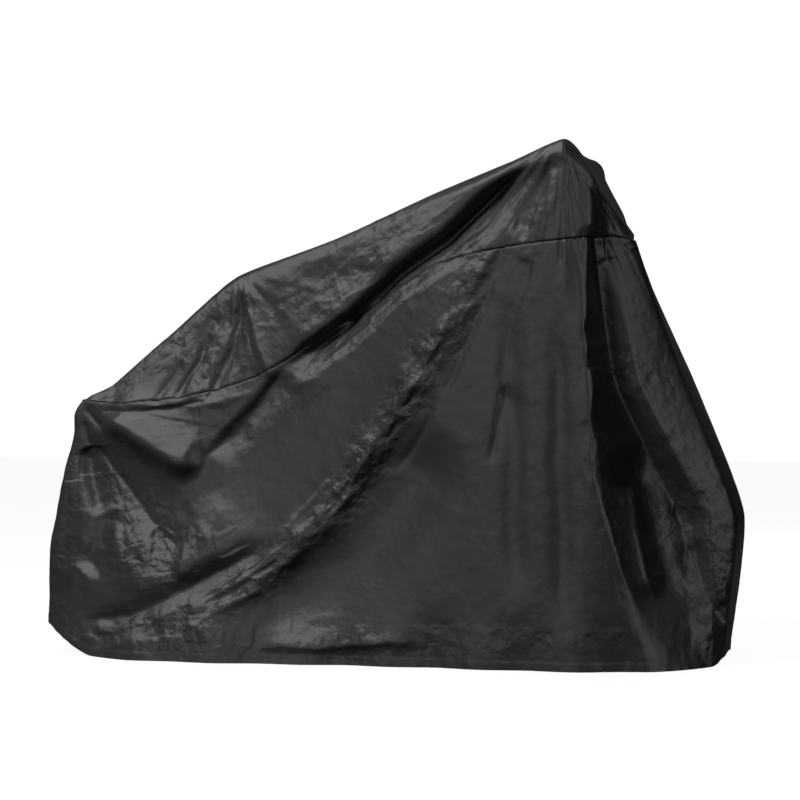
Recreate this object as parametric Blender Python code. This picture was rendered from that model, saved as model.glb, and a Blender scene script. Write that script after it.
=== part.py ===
"""Bicycle cover: thin coated cloth draped over an upright bicycle, hollow, its elastic hem on the ground.

Frame: +X is the front of the bicycle, -Y the near side, +Z up, z = 0 the ground. All sizes are metres.

Three pieces of cloth are sewn together. The top panel is a cap over the rack, the saddle and the two
handlebar grips. A side panel hangs from each of its long edges, and the two side panels meet in a
seam at the rear and another at the front.
"""

from typing import NamedTuple

import bpy
import numpy as np
from mathutils import Matrix, Vector

COVER_NAME = "bicycle_cover"
SHEET = 0.002
SEAM_GAP = 0.0005

# The near side's grid: columns from the rear seam to the front seam, rows from the hem to the top seam.
END_COLUMNS = 4
ROWS = 28
FLAP_ROWS = 6
CROWN_ROWS = 3
# The far side keeps every FAR_STEP-th column and row of the same grid.
FAR_STEP = 2

# How tightly the cloth is drawn between its sections: 0 is a soft curve, 1 is nearly straight.
TAUTNESS = 0.45
# The share of its path over which a fold rises at either end.
FOLD_RISE = 0.2
SHARP_EDGE = np.radians(40)

CLOTH_COLOUR = (0.030, 0.029, 0.031, 1.0)
CLOTH_ROUGHNESS = 0.42


class Section(NamedTuple):
    """A line down one side of the cover; out is the distance from the bicycle's middle plane.

    columns is the number of grid columns from the section before it. ridge is the top panel's middle
    (x, z), shoulder its edge (x, out, z), and seam the line where the side panel starts (x, out, z).
    high and low are (x, out) at two thirds and one third of the side panel's height, and hem is its
    foot (x, out, z).
    """

    columns: int
    ridge: tuple
    shoulder: tuple
    seam: tuple
    high: tuple
    low: tuple
    hem: tuple


SECTIONS = {
    "rear seam": Section(0, (-0.762, 0.617), (-0.762, 0.000, 0.617), (-0.762, 0.000, 0.617),
                         (-0.812, 0.000), (-0.845, 0.020), (-0.848, 0.030, 0.080)),
    "rear corner": Section(END_COLUMNS, (-0.755, 0.622), (-0.750, 0.060, 0.620), (-0.752, 0.072, 0.612),
                           (-0.802, 0.075), (-0.832, 0.090), (-0.832, 0.105, 0.070)),
    "rack": Section(4, (-0.690, 0.652), (-0.688, 0.065, 0.650), (-0.645, 0.105, 0.606),
                    (-0.690, 0.115), (-0.710, 0.150), (-0.700, 0.200, 0.002)),
    "rear wheel": Section(6, (-0.530, 0.785), (-0.525, 0.075, 0.782), (-0.470, 0.140, 0.622),
                          (-0.490, 0.160), (-0.495, 0.220), (-0.490, 0.275, 0.000)),
    "saddle": Section(8, (-0.370, 0.914), (-0.367, 0.090, 0.908), (-0.285, 0.160, 0.672),
                      (-0.280, 0.190), (-0.275, 0.235), (-0.270, 0.280, 0.000)),
    "middle": Section(8, (-0.100, 0.990), (-0.105, 0.160, 0.999), (-0.073, 0.200, 0.790),
                      (-0.065, 0.220), (-0.060, 0.245), (-0.055, 0.270, 0.000)),
    "stem": Section(8, (0.150, 1.080), (0.150, 0.225, 1.100), (0.150, 0.252, 0.925),
                    (0.150, 0.260), (0.155, 0.265), (0.160, 0.280, 0.000)),
    "behind the grip": Section(6, (0.330, 1.145), (0.330, 0.272, 1.164), (0.330, 0.290, 0.960),
                               (0.330, 0.290), (0.330, 0.292), (0.330, 0.298, 0.000)),
    "grip": Section(4, (0.455, 1.190), (0.455, 0.305, 1.212), (0.455, 0.312, 0.972),
                    (0.470, 0.305), (0.490, 0.300), (0.510, 0.300, 0.000)),
    "curtain edge": Section(4, (0.492, 1.145), (0.498, 0.272, 1.156), (0.509, 0.292, 0.978),
                            (0.514, 0.296), (0.565, 0.284), (0.650, 0.262, 0.000)),
    "valley floor": Section(4, (0.510, 1.110), (0.517, 0.256, 1.121), (0.521, 0.255, 0.979),
                            (0.560, 0.190), (0.700, 0.090), (0.735, 0.190, 0.000)),
    "wheel side": Section(4, (0.545, 1.055), (0.551, 0.226, 1.064), (0.565, 0.225, 0.984),
                          (0.615, 0.186), (0.765, 0.112), (0.778, 0.140, 0.002)),
    "front corner": Section(4, (0.592, 0.990), (0.606, 0.150, 0.977), (0.605, 0.180, 0.976),
                            (0.705, 0.104), (0.822, 0.080), (0.800, 0.092, 0.020)),
    "front seam": Section(END_COLUMNS, (0.582, 0.986), (0.582, 0.000, 0.986), (0.582, 0.000, 0.986),
                          (0.712, 0.040), (0.840, 0.020), (0.806, 0.000, 0.030)),
}

# The far side is like the near one but for its front, which lies a little further back at the top.
FAR_SECTIONS = SECTIONS | {
    "grip": Section(4, (0.455, 1.190), (0.466, 0.300, 1.200), (0.465, 0.305, 0.972),
                    (0.470, 0.300), (0.480, 0.295), (0.500, 0.290, 0.000)),
    "curtain edge": Section(4, (0.492, 1.145), (0.481, 0.281, 1.163), (0.492, 0.290, 0.976),
                            (0.520, 0.280), (0.570, 0.260), (0.640, 0.240, 0.000)),
    "valley floor": Section(4, (0.510, 1.110), (0.498, 0.262, 1.131), (0.512, 0.270, 0.978),
                            (0.575, 0.200), (0.680, 0.150), (0.715, 0.190, 0.000)),
    "wheel side": Section(4, (0.545, 1.055), (0.532, 0.230, 1.068), (0.535, 0.240, 0.982),
                          (0.640, 0.160), (0.770, 0.110), (0.775, 0.135, 0.002)),
    "front corner": Section(4, (0.592, 0.990), (0.555, 0.180, 0.996), (0.553, 0.200, 0.990),
                            (0.706, 0.130), (0.832, 0.075), (0.800, 0.092, 0.020)),
}


class Fold(NamedTuple):
    """A fold along a path of (x, z) points on the cloth's side.

    left and right are its half-widths to either side of the path, seen from outside the near side, and
    height is how far it stands out; a negative height makes a valley.
    """

    path: tuple
    left: float
    right: float
    height: float


NEAR_FOLDS = {
    "valley from the grip to the rack": Fold(
        ((0.42, 1.17), (0.31, 1.09), (0.18, 0.975), (0.07, 0.905), (-0.09, 0.765), (-0.26, 0.66)),
        0.060, 0.024, -0.040),
    "lip over that valley": Fold(
        ((0.42, 1.20), (0.29, 1.12), (0.16, 1.005), (0.05, 0.935), (-0.11, 0.795), (-0.28, 0.69)),
        0.020, 0.055, 0.010),
    "roll under that valley": Fold(
        ((0.22, 0.96), (0.07, 0.85), (-0.09, 0.72), (-0.22, 0.60)), 0.045, 0.045, 0.012),
    "crease behind the grip": Fold(
        ((0.455, 1.17), (0.41, 1.10), (0.36, 1.03), (0.35, 0.97)), 0.024, 0.016, -0.010),
    "crease under the saddle": Fold(
        ((-0.22, 0.69), (-0.29, 0.60), (-0.33, 0.56), (-0.41, 0.48)), 0.045, 0.015, -0.014),
    "long roll from the grip to the rear wheel": Fold(
        ((0.26, 0.93), (0.23, 0.84), (0.16, 0.73), (0.04, 0.54), (-0.11, 0.32), (-0.29, 0.17), (-0.46, 0.07)),
        0.030, 0.068, 0.013),
    "hollow under the long roll": Fold(
        ((0.18, 0.56), (0.07, 0.38), (-0.02, 0.25), (-0.16, 0.14), (-0.30, 0.08)), 0.085, 0.095, -0.024),
    "facet behind the saddle": Fold(
        ((-0.70, 0.58), (-0.61, 0.54), (-0.50, 0.48), (-0.41, 0.46)), 0.062, 0.040, 0.030),
    "wedge under the rack": Fold(
        ((-0.75, 0.50), (-0.72, 0.41), (-0.69, 0.33)), 0.040, 0.024, -0.016),
    "dip behind the rear wheel": Fold(
        ((-0.66, 0.36), (-0.68, 0.27), (-0.73, 0.19)), 0.035, 0.035, -0.014),
    "sweep over the rear hem": Fold(
        ((-0.20, 0.29), (-0.31, 0.24), (-0.40, 0.19), (-0.49, 0.15), (-0.60, 0.10), (-0.74, 0.08)),
        0.050, 0.028, -0.012),
    "roll over the sweep": Fold(
        ((-0.24, 0.34), (-0.36, 0.27), (-0.50, 0.21), (-0.66, 0.16)), 0.034, 0.050, 0.008),
    "curtain flute behind the grip": Fold(
        ((0.335, 0.86), (0.34, 0.52), (0.34, 0.14)), 0.034, 0.034, -0.006),
    "curtain flute under the grip": Fold(
        ((0.44, 0.88), (0.45, 0.48), (0.45, 0.10)), 0.032, 0.032, -0.006),
    "rib in the front valley": Fold(
        ((0.60, 0.44), (0.63, 0.30), (0.67, 0.16)), 0.028, 0.028, 0.018),
    "crease at the front hem": Fold(
        ((0.72, 0.30), (0.745, 0.20), (0.79, 0.09)), 0.028, 0.028, -0.014),
}

FAR_FOLDS = {
    "valley from the grip to the rack": Fold(
        ((0.36, 1.12), (0.15, 0.97), (-0.05, 0.82), (-0.28, 0.66)), 0.045, 0.045, -0.022),
    "long roll from the grip": Fold(
        ((0.30, 0.90), (0.16, 0.62), (-0.02, 0.36), (-0.22, 0.12)), 0.080, 0.080, 0.040),
    "hollow under the saddle": Fold(
        ((-0.28, 0.58), (-0.24, 0.38), (-0.16, 0.20)), 0.085, 0.085, -0.034),
    "sweep over the rear hem": Fold(
        ((-0.34, 0.30), (-0.52, 0.19), (-0.72, 0.13)), 0.080, 0.080, -0.030),
    "roll behind the saddle": Fold(
        ((-0.68, 0.54), (-0.52, 0.42), (-0.40, 0.30)), 0.080, 0.080, 0.030),
    "curtain flute": Fold(
        ((0.40, 0.80), (0.41, 0.16)), 0.070, 0.070, -0.020),
}

# The elastic in the hem draws the lowest cloth into shallow waves.
HEM_WAVE_HEIGHT = 0.007
HEM_WAVE_LENGTH = 0.21
HEM_WAVE_REACH = 0.16

# The rack's end holds the rear top corner out.
RACK_END_X = -0.735
RACK_END_Z = 0.582
RACK_END_REACH = 0.036
RACK_END_PUSH = 0.016


def spline(knots, values, at):
    """Values at the places `at` of a smooth curve through `values` at `knots` (cubic Hermite)."""
    slopes = np.gradient(values, knots, axis=0) * (1 - TAUTNESS)
    first = np.clip(np.searchsorted(knots, at, side="right") - 1, 0, len(knots) - 2)
    width = (knots[first + 1] - knots[first])[:, None]
    t = (at - knots[first])[:, None] / width
    start, end = values[first], values[first + 1]
    bend = t * (1 - t) * (slopes[first] * width * (1 - t) - slopes[first + 1] * width * t)
    return start + (end - start) * t * t * (3 - 2 * t) + bend


def smoothstep(t):
    """0 below 0, 1 above 1, and a smooth rise between."""
    t = np.clip(t, 0, 1)
    return t * t * (3 - 2 * t)


def unit(vectors):
    """The vectors at length 1."""
    return vectors / np.linalg.norm(vectors, axis=-1, keepdims=True)


def column_places():
    """The place of each grid column, counted in sections."""
    starts = np.cumsum([section.columns for section in SECTIONS.values()])
    return np.interp(np.arange(starts[-1] + 1), starts, np.arange(len(starts)))


def along_sections(table, places):
    """The rows of `table`, one for each section, read at each column by a smooth curve."""
    table = np.asarray(table, float)
    flat = spline(np.arange(len(table), dtype=float), table.reshape(len(table), -1), places)
    return flat.reshape(len(places), *table.shape[1:])


def side_grid(sections, places):
    """World points of a smooth side panel: columns from the rear seam to the front, rows upward.

    A section's out counts towards its own side, but the two seams' out always counts to the near side.
    """
    levels = []
    for s in sections.values():
        rise = (s.seam[2] - s.hem[2]) / 3
        levels.append((s.hem, (*s.low, s.hem[2] + rise), (*s.high, s.hem[2] + 2 * rise), s.seam))
    levels = np.array(levels)
    if sections is FAR_SECTIONS:
        levels[1:-1, :, 1] *= -1
    levels[..., 1] *= -1
    lines = along_sections(levels, places).transpose(1, 0, 2)
    rows = spline(np.linspace(0, 1, 4), lines.reshape(4, -1), np.linspace(0, 1, ROWS + 1))
    return rows.reshape(ROWS + 1, len(places), 3).transpose(1, 0, 2)


def straighten_ends(edge):
    """Makes the top edge's first and last END_COLUMNS gaps straight, as the cap's two short edges are."""
    ramp = np.linspace(0, 1, END_COLUMNS + 1)[:, None]
    edge[: END_COLUMNS + 1] = edge[0] * (1 - ramp) + edge[END_COLUMNS] * ramp
    edge[-END_COLUMNS - 1 :] = edge[-END_COLUMNS - 1] * (1 - ramp) + edge[-1] * ramp


def distance_to_path(x, z, path):
    """Signed distance of each (x, z) to the path, positive on its left, and the place along it, 0 to 1."""
    path = np.array(path)
    steps = np.diff(path, axis=0)
    lengths = np.linalg.norm(steps, axis=1)
    starts = np.concatenate([[0], np.cumsum(lengths)])
    nearest = np.full(x.shape, np.inf)
    signed = np.zeros(x.shape)
    place = np.zeros(x.shape)
    for start, step, length, before in zip(path, steps, lengths, starts):
        dx, dz = x - start[0], z - start[1]
        t = np.clip((dx * step[0] + dz * step[1]) / length**2, 0, 1)
        away = np.hypot(dx - t * step[0], dz - t * step[1])
        side = np.sign(step[0] * dz - step[1] * dx)
        closer = away < nearest
        nearest = np.where(closer, away, nearest)
        signed = np.where(closer, away * side, signed)
        place = np.where(closer, before + t * length, place)
    return signed, place / starts[-1]


def fold_height(points, folds):
    """How far the folds move each point outward: the sum of a bell across each path."""
    x, z = points[..., 0], points[..., 2]
    total = np.zeros(x.shape)
    for fold in folds.values():
        signed, place = distance_to_path(x, z, fold.path)
        across = signed / np.where(signed > 0, fold.left, fold.right)
        fade = smoothstep(place / FOLD_RISE) * smoothstep((1 - place) / FOLD_RISE)
        total += fold.height * np.exp(-(across**2)) * fade
    return total


def hem_waves(points):
    """How far the drawn-in hem moves each point outward: waves along x that die out up the cloth."""
    near_ground = smoothstep(1 - points[..., 2] / HEM_WAVE_REACH)
    return HEM_WAVE_HEIGHT * np.sin(2 * np.pi * points[..., 0] / HEM_WAVE_LENGTH) * near_ground


def rack_end(points):
    """How far the rack's rear end pushes each point back: a bell up the cloth that starts at the rack."""
    rise = np.exp(-(((points[..., 2] - RACK_END_Z) / RACK_END_REACH) ** 2))
    return RACK_END_PUSH * rise * smoothstep((RACK_END_X - points[..., 0]) / RACK_END_REACH)


def folded_side(sections, places, folds, outward):
    """A side panel's world points with its folds, which fade out towards the two centre seams."""
    points = side_grid(sections, places)
    column = np.arange(len(places))
    inside = smoothstep(np.minimum(column, column[::-1]) / (END_COLUMNS + 2))
    moved = fold_height(points, folds) + hem_waves(points)
    pushed = rack_end(points)
    points[..., 1] += outward * moved * inside[:, None]
    points[..., 0] -= pushed
    straighten_ends(points[:, -1])
    return points


def cap_half(sections, places, seam, folds, outward):
    """Half of the top panel: rows from its seam up the flap to the shoulder, then over to the middle."""
    shoulder = along_sections([s.shoulder for s in sections.values()], places) * (1, outward, 1)
    ridge = along_sections([(s.ridge[0], 0, s.ridge[1]) for s in sections.values()], places)
    up = np.linspace(0, 1, FLAP_ROWS + 1)[None, :, None]
    flap = seam[:, None] * (1 - up) + shoulder[:, None] * up
    over = np.linspace(0, 1, CROWN_ROWS + 1)[None, 1:, None]
    crown = shoulder[:, None] * (1 - over) + ridge[:, None] * over
    half = np.concatenate([flap, crown], axis=1)
    row = np.arange(half.shape[1])
    hanging = smoothstep((FLAP_ROWS - row) / 2)
    column = np.arange(len(places))
    inside = smoothstep(np.minimum(column, column[::-1]) / END_COLUMNS)
    lift = fold_height(half, folds) * hanging * inside[:, None]
    lift[:, 0] = 0
    half[..., 1] += outward * lift
    return half


def between(start, end, count):
    """Evenly spaced points from start to end, count gaps apart."""
    steps = np.linspace(0, 1, count + 1)[:, None]
    return start * (1 - steps) + end * steps


def short_edge(near_edge, far_edge, end):
    """The cap's short edge at one end of the cover: near corner, straight to the seam, far corner."""
    corner = END_COLUMNS if end == 0 else -1 - END_COLUMNS
    half = FLAP_ROWS + CROWN_ROWS
    near = between(near_edge[corner], near_edge[end], half)
    far = between(far_edge[end], far_edge[corner], half)
    return np.concatenate([near, far[1:]])


def cap_grid(places, near_side, far_side):
    """World points of the top panel: columns along it, rows from the near seam over to the far seam."""
    middle = slice(END_COLUMNS, -END_COLUMNS)
    near = cap_half(SECTIONS, places[middle], near_side[middle, -1], NEAR_FOLDS, -1)
    far = cap_half(FAR_SECTIONS, places[middle], far_side[middle, -1], FAR_FOLDS, 1)
    cap = np.concatenate([near, far[:, -2::-1]], axis=1)
    for end in (0, -1):
        cap[end] = short_edge(near_side[:, -1], far_side[:, -1], end)
    cap[1:-1, 1:-1] = (cap[1:-1, :-2] + 2 * cap[1:-1, 1:-1] + cap[1:-1, 2:]) / 4
    return cap


def grid_normals(points, outward):
    """Unit normals of a grid of points, turned outward by the sign given."""
    return unit(np.cross(np.gradient(points, axis=0), np.gradient(points, axis=1))) * outward


def on_coarse_chords(edge):
    """Puts the points between every FAR_STEP-th point of an edge on the straight line between those."""
    count = len(edge)
    kept = np.arange(0, count, FAR_STEP)
    for axis in range(3):
        edge[:, axis] = np.interp(np.arange(count), kept, edge[kept, axis])


def share_edge(first, second):
    """Gives two edges of normals that meet in a seam the same directions, so their cuts are parallel."""
    common = unit(first + second)
    on_coarse_chords(common)
    first[:] = second[:] = common


def seam_axis(edge, inside, normals):
    """Vectors square to a seam and to its shared normals, turned away from the row inside the edge."""
    axis = np.cross(unit(np.gradient(edge, axis=0)), normals)
    axis *= np.sign(np.sum(axis * (edge - inside), axis=1, keepdims=True))
    on_coarse_chords(axis)
    return axis


def open_seams(near, far, cap, near_out, far_out):
    """Draws every edge back from its seam by half of the seam's gap."""
    half_gap = SEAM_GAP / 2
    up_near = seam_axis(near[:, -1], near[:, -2], near_out[:, -1])
    up_far = seam_axis(far[:, -1], far[:, -2], far_out[:, -1])
    for end in (0, -1):
        up_near[end] = up_far[end] = (up_near[end] + up_far[end]) / 2
    straighten_ends(up_near)
    straighten_ends(up_far)
    middle = slice(END_COLUMNS, -END_COLUMNS)
    lift = np.zeros(cap.shape)
    lift[:, 0] = up_near[middle]
    lift[:, -1] = up_far[middle]
    for end, inside in ((0, 1), (-1, -2)):
        lift[end] = short_edge(up_near, up_far, end)
        across = seam_axis(near[end], near[inside], near_out[end])
        near[end] -= across * half_gap
        far[end] += across * half_gap
    near[:, -1] -= up_near * half_gap
    far[:, -1] -= up_far * half_gap
    cap += lift * half_gap


def split_quads(points, quads):
    """Two triangles for each quad, cut along its shorter diagonal."""
    a, b, c, d = points[quads].transpose(1, 0, 2)
    along_ac = (np.linalg.norm(a - c, axis=1) <= np.linalg.norm(b - d, axis=1))[:, None]
    first = np.where(along_ac, quads[:, [0, 1, 2]], quads[:, [0, 1, 3]])
    second = np.where(along_ac, quads[:, [0, 2, 3]], quads[:, [1, 2, 3]])
    return np.concatenate([first, second])


def sheet_mesh(name, outer, normals):
    """A closed mesh of the sheet: its outer grid, the inner grid one SHEET below, and the cut edges.

    Both grids' quads are cut along the same diagonals, so that the two faces of the cloth never cross.
    """
    columns, rows = outer.shape[:2]
    index = np.arange(columns * rows).reshape(columns, rows)
    quads = np.stack([index[:-1, :-1], index[1:, :-1], index[1:, 1:], index[:-1, 1:]], axis=-1)
    front = split_quads(outer.reshape(-1, 3), quads.reshape(-1, 4))
    rim = np.concatenate([index[:, 0], index[-1, 1:], index[-2::-1, -1], index[0, -2::-1]])
    below = columns * rows
    sides = np.stack([rim[:-1], rim[:-1] + below, rim[1:] + below, rim[1:]], axis=-1)
    points = np.concatenate([outer.reshape(-1, 3), (outer - SHEET * normals).reshape(-1, 3)])
    mesh = bpy.data.meshes.new(name)
    mesh.from_pydata(points.tolist(), [], front.tolist() + (front[:, ::-1] + below).tolist() + sides.tolist())
    mesh.update()
    mesh.shade_smooth()
    mesh.set_sharp_from_angle(angle=SHARP_EDGE)
    return mesh


def cloth_material(name):
    """Coated cloth, nearly black."""
    material = bpy.data.materials.new(name)
    material.use_nodes = True
    shader = material.node_tree.nodes["Principled BSDF"]
    shader.inputs["Base Color"].default_value = CLOTH_COLOUR
    shader.inputs["Roughness"].default_value = CLOTH_ROUGHNESS
    shader.inputs["Metallic"].default_value = 0.0
    return material


def add_sheets(pieces):
    """Adds each piece of cloth, given as (points, normals), as an object with its own material.

    The pieces are placed so that the middle of the cover's box is at the origin and its foot at z = 0.
    """
    collection = bpy.data.collections.new(COVER_NAME)
    bpy.context.scene.collection.children.link(collection)
    sheets = [bpy.data.objects.new(name, sheet_mesh(name, *piece)) for name, piece in pieces.items()]
    corners = np.array([corner for sheet in sheets for corner in sheet.bound_box])
    low, high = corners.min(axis=0), corners.max(axis=0)
    foot = Vector(((low[0] + high[0]) / 2, (low[1] + high[1]) / 2, low[2]))
    for sheet in sheets:
        sheet.data.materials.append(cloth_material(sheet.name + "_cloth"))
        sheet.data.transform(Matrix.Translation(-foot))
        collection.objects.link(sheet)


def clear_scene():
    """Removes every object from the scene."""
    for old in list(bpy.data.objects):
        bpy.data.objects.remove(old, do_unlink=True)


def build_cover():
    """Builds the three pieces of cloth, sewn edge to edge with the seam's gap between them."""
    places = column_places()
    near = folded_side(SECTIONS, places, NEAR_FOLDS, -1)
    far = folded_side(FAR_SECTIONS, places, FAR_FOLDS, 1)
    on_coarse_chords(far[:, -1])
    for end in (0, -1):
        on_coarse_chords(far[end])
        near[end] = far[end]
    straighten_ends(near[:, -1])
    straighten_ends(far[:, -1])
    cap = cap_grid(places, near, far)

    middle = slice(END_COLUMNS, -END_COLUMNS)
    near_out = grid_normals(near, 1)
    far_out = grid_normals(far, -1)
    cap_out = grid_normals(cap, 1)
    share_edge(near_out[middle, -1], cap_out[:, 0])
    share_edge(far_out[middle, -1], cap_out[:, -1])
    for end in (0, -1):
        share_edge(near_out[end], far_out[end])
    straighten_ends(near_out[:, -1])
    straighten_ends(far_out[:, -1])
    for end in (0, -1):
        cap_out[end] = short_edge(near_out[:, -1], far_out[:, -1], end)

    open_seams(near, far, cap, near_out, far_out)

    coarse = np.s_[::-FAR_STEP, ::FAR_STEP]
    add_sheets(
        {
            "side_panel_near": (near, near_out),
            "side_panel_far": (far[coarse], far_out[coarse]),
            "top_panel": (cap, cap_out),
        }
    )


clear_scene()
build_cover()
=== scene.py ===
"""Dresses the bicycle cover: thin black coated cloth over an upright bicycle, in a plain pale studio.

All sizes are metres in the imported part's frame: +X is the front of the bicycle, -Y the near side and
+Z up. The cover is three pieces of cloth, a top panel and two side panels, sewn edge to edge.
"""

import logging
from dataclasses import dataclass
from enum import Enum
from typing import NamedTuple

import bpy
import numpy as np
from mathutils import Matrix, Vector


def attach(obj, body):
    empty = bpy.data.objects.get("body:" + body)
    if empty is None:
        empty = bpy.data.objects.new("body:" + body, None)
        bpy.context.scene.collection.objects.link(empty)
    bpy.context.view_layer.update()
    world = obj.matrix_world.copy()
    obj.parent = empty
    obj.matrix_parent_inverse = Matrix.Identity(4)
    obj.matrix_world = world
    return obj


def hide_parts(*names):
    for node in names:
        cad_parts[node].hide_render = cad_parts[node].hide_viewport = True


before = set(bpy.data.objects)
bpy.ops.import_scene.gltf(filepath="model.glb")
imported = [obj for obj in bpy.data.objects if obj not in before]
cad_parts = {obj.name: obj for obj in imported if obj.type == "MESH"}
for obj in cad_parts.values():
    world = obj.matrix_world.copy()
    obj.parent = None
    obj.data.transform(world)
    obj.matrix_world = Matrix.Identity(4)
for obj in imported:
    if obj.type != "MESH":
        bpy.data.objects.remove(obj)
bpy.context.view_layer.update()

LOG = logging.getLogger("bicycle_cover")
BODY = "root"

Array = np.ndarray
Place = tuple[float, float]
Point = tuple[float, float, float]

# From the sizes in the tables below to the part's frame, which is centred on its own box. The tables of
# the drape and its main folds repeat the part's own, because a script can't read them from the solids.
TABLE_TO_FRAME = np.array((0.0034, 0.0021, 0.0018))

# Fine columns and rows for each column of the tables.
FINE = 7
END_COLUMNS = 4
TAUTNESS = 0.45
FLAP_LEVELS = 6
CROWN_LEVELS = 3


class Side(Enum):
    """The two sides of the cover; the value is the way along Y that is outward."""

    NEAR = -1
    FAR = 1


class Station(NamedTuple):
    """A line down one side of the cover; out is the distance from the bicycle's middle plane.

    gaps counts the table's columns since the station before. ridge is the top panel's middle (x, z),
    shoulder its edge (x, out, z), and seam the line where the side panel starts (x, out, z). high and
    low are (x, out) at two thirds and one third of the side panel's height, and hem is its foot.
    """

    gaps: int
    ridge: Place
    shoulder: Point
    seam: Point
    high: Place
    low: Place
    hem: Point


STATIONS: dict[str, Station] = {
    "rear seam": Station(0, (-0.762, 0.617), (-0.762, 0.000, 0.617), (-0.762, 0.000, 0.617),
                         (-0.812, 0.000), (-0.845, 0.020), (-0.848, 0.030, 0.080)),
    "rear corner": Station(END_COLUMNS, (-0.755, 0.622), (-0.750, 0.060, 0.620), (-0.752, 0.072, 0.612),
                           (-0.802, 0.075), (-0.832, 0.090), (-0.832, 0.105, 0.070)),
    "rack": Station(4, (-0.690, 0.652), (-0.688, 0.065, 0.650), (-0.645, 0.105, 0.606),
                    (-0.690, 0.115), (-0.710, 0.150), (-0.700, 0.200, 0.002)),
    "rear wheel": Station(6, (-0.530, 0.785), (-0.525, 0.075, 0.782), (-0.470, 0.140, 0.622),
                          (-0.490, 0.160), (-0.495, 0.220), (-0.490, 0.275, 0.000)),
    "saddle": Station(8, (-0.370, 0.914), (-0.367, 0.090, 0.908), (-0.285, 0.160, 0.672),
                      (-0.280, 0.190), (-0.275, 0.235), (-0.270, 0.280, 0.000)),
    "middle": Station(8, (-0.100, 0.990), (-0.105, 0.160, 0.999), (-0.073, 0.200, 0.790),
                      (-0.065, 0.220), (-0.060, 0.245), (-0.055, 0.270, 0.000)),
    "stem": Station(8, (0.150, 1.080), (0.150, 0.225, 1.100), (0.150, 0.252, 0.925),
                    (0.150, 0.260), (0.155, 0.265), (0.160, 0.280, 0.000)),
    "behind the grip": Station(6, (0.330, 1.145), (0.330, 0.272, 1.164), (0.330, 0.290, 0.960),
                               (0.330, 0.290), (0.330, 0.292), (0.330, 0.298, 0.000)),
    "grip": Station(4, (0.455, 1.190), (0.455, 0.305, 1.212), (0.455, 0.312, 0.972),
                    (0.470, 0.305), (0.490, 0.300), (0.510, 0.300, 0.000)),
    "curtain edge": Station(4, (0.492, 1.145), (0.498, 0.272, 1.156), (0.509, 0.292, 0.978),
                            (0.514, 0.296), (0.565, 0.284), (0.650, 0.262, 0.000)),
    "valley floor": Station(4, (0.510, 1.110), (0.517, 0.256, 1.121), (0.521, 0.255, 0.979),
                            (0.560, 0.190), (0.700, 0.090), (0.735, 0.190, 0.000)),
    "wheel side": Station(4, (0.545, 1.055), (0.551, 0.226, 1.064), (0.565, 0.225, 0.984),
                          (0.615, 0.186), (0.765, 0.112), (0.778, 0.140, 0.002)),
    "front corner": Station(4, (0.592, 0.990), (0.606, 0.150, 0.977), (0.605, 0.180, 0.976),
                            (0.705, 0.104), (0.822, 0.080), (0.800, 0.092, 0.020)),
    "front seam": Station(END_COLUMNS, (0.582, 0.986), (0.582, 0.000, 0.986), (0.582, 0.000, 0.986),
                          (0.712, 0.040), (0.840, 0.020), (0.806, 0.000, 0.030)),
}

# The far side is like the near one but for its front, which lies a little further back at the top.
FAR_STATIONS = STATIONS | {
    "grip": Station(4, (0.455, 1.190), (0.466, 0.300, 1.200), (0.465, 0.305, 0.972),
                    (0.470, 0.300), (0.480, 0.295), (0.500, 0.290, 0.000)),
    "curtain edge": Station(4, (0.492, 1.145), (0.481, 0.281, 1.163), (0.492, 0.290, 0.976),
                            (0.520, 0.280), (0.570, 0.260), (0.640, 0.240, 0.000)),
    "valley floor": Station(4, (0.510, 1.110), (0.498, 0.262, 1.131), (0.512, 0.270, 0.978),
                            (0.575, 0.200), (0.680, 0.150), (0.715, 0.190, 0.000)),
    "wheel side": Station(4, (0.545, 1.055), (0.532, 0.230, 1.068), (0.535, 0.240, 0.982),
                          (0.640, 0.160), (0.770, 0.110), (0.775, 0.135, 0.002)),
    "front corner": Station(4, (0.592, 0.990), (0.555, 0.180, 0.996), (0.553, 0.200, 0.990),
                            (0.706, 0.130), (0.832, 0.075), (0.800, 0.092, 0.020)),
}


class Profile(Enum):
    """The shape across a crease."""

    ROLL = "a bell, soft all over"
    EDGE = "a sharp line whose two flanks ease out"
    LAP = "a step that is steep on the left and eases out on the right"


class Crease(NamedTuple):
    """A crease along a path of (x, z) points on the cloth's side.

    left and right are its half-widths to either side of the path, seen from outside the near side, and
    height is how far it stands out; a negative height makes a valley.
    """

    path: tuple[Place, ...]
    left: float
    right: float
    height: float
    profile: Profile = Profile.ROLL


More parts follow.
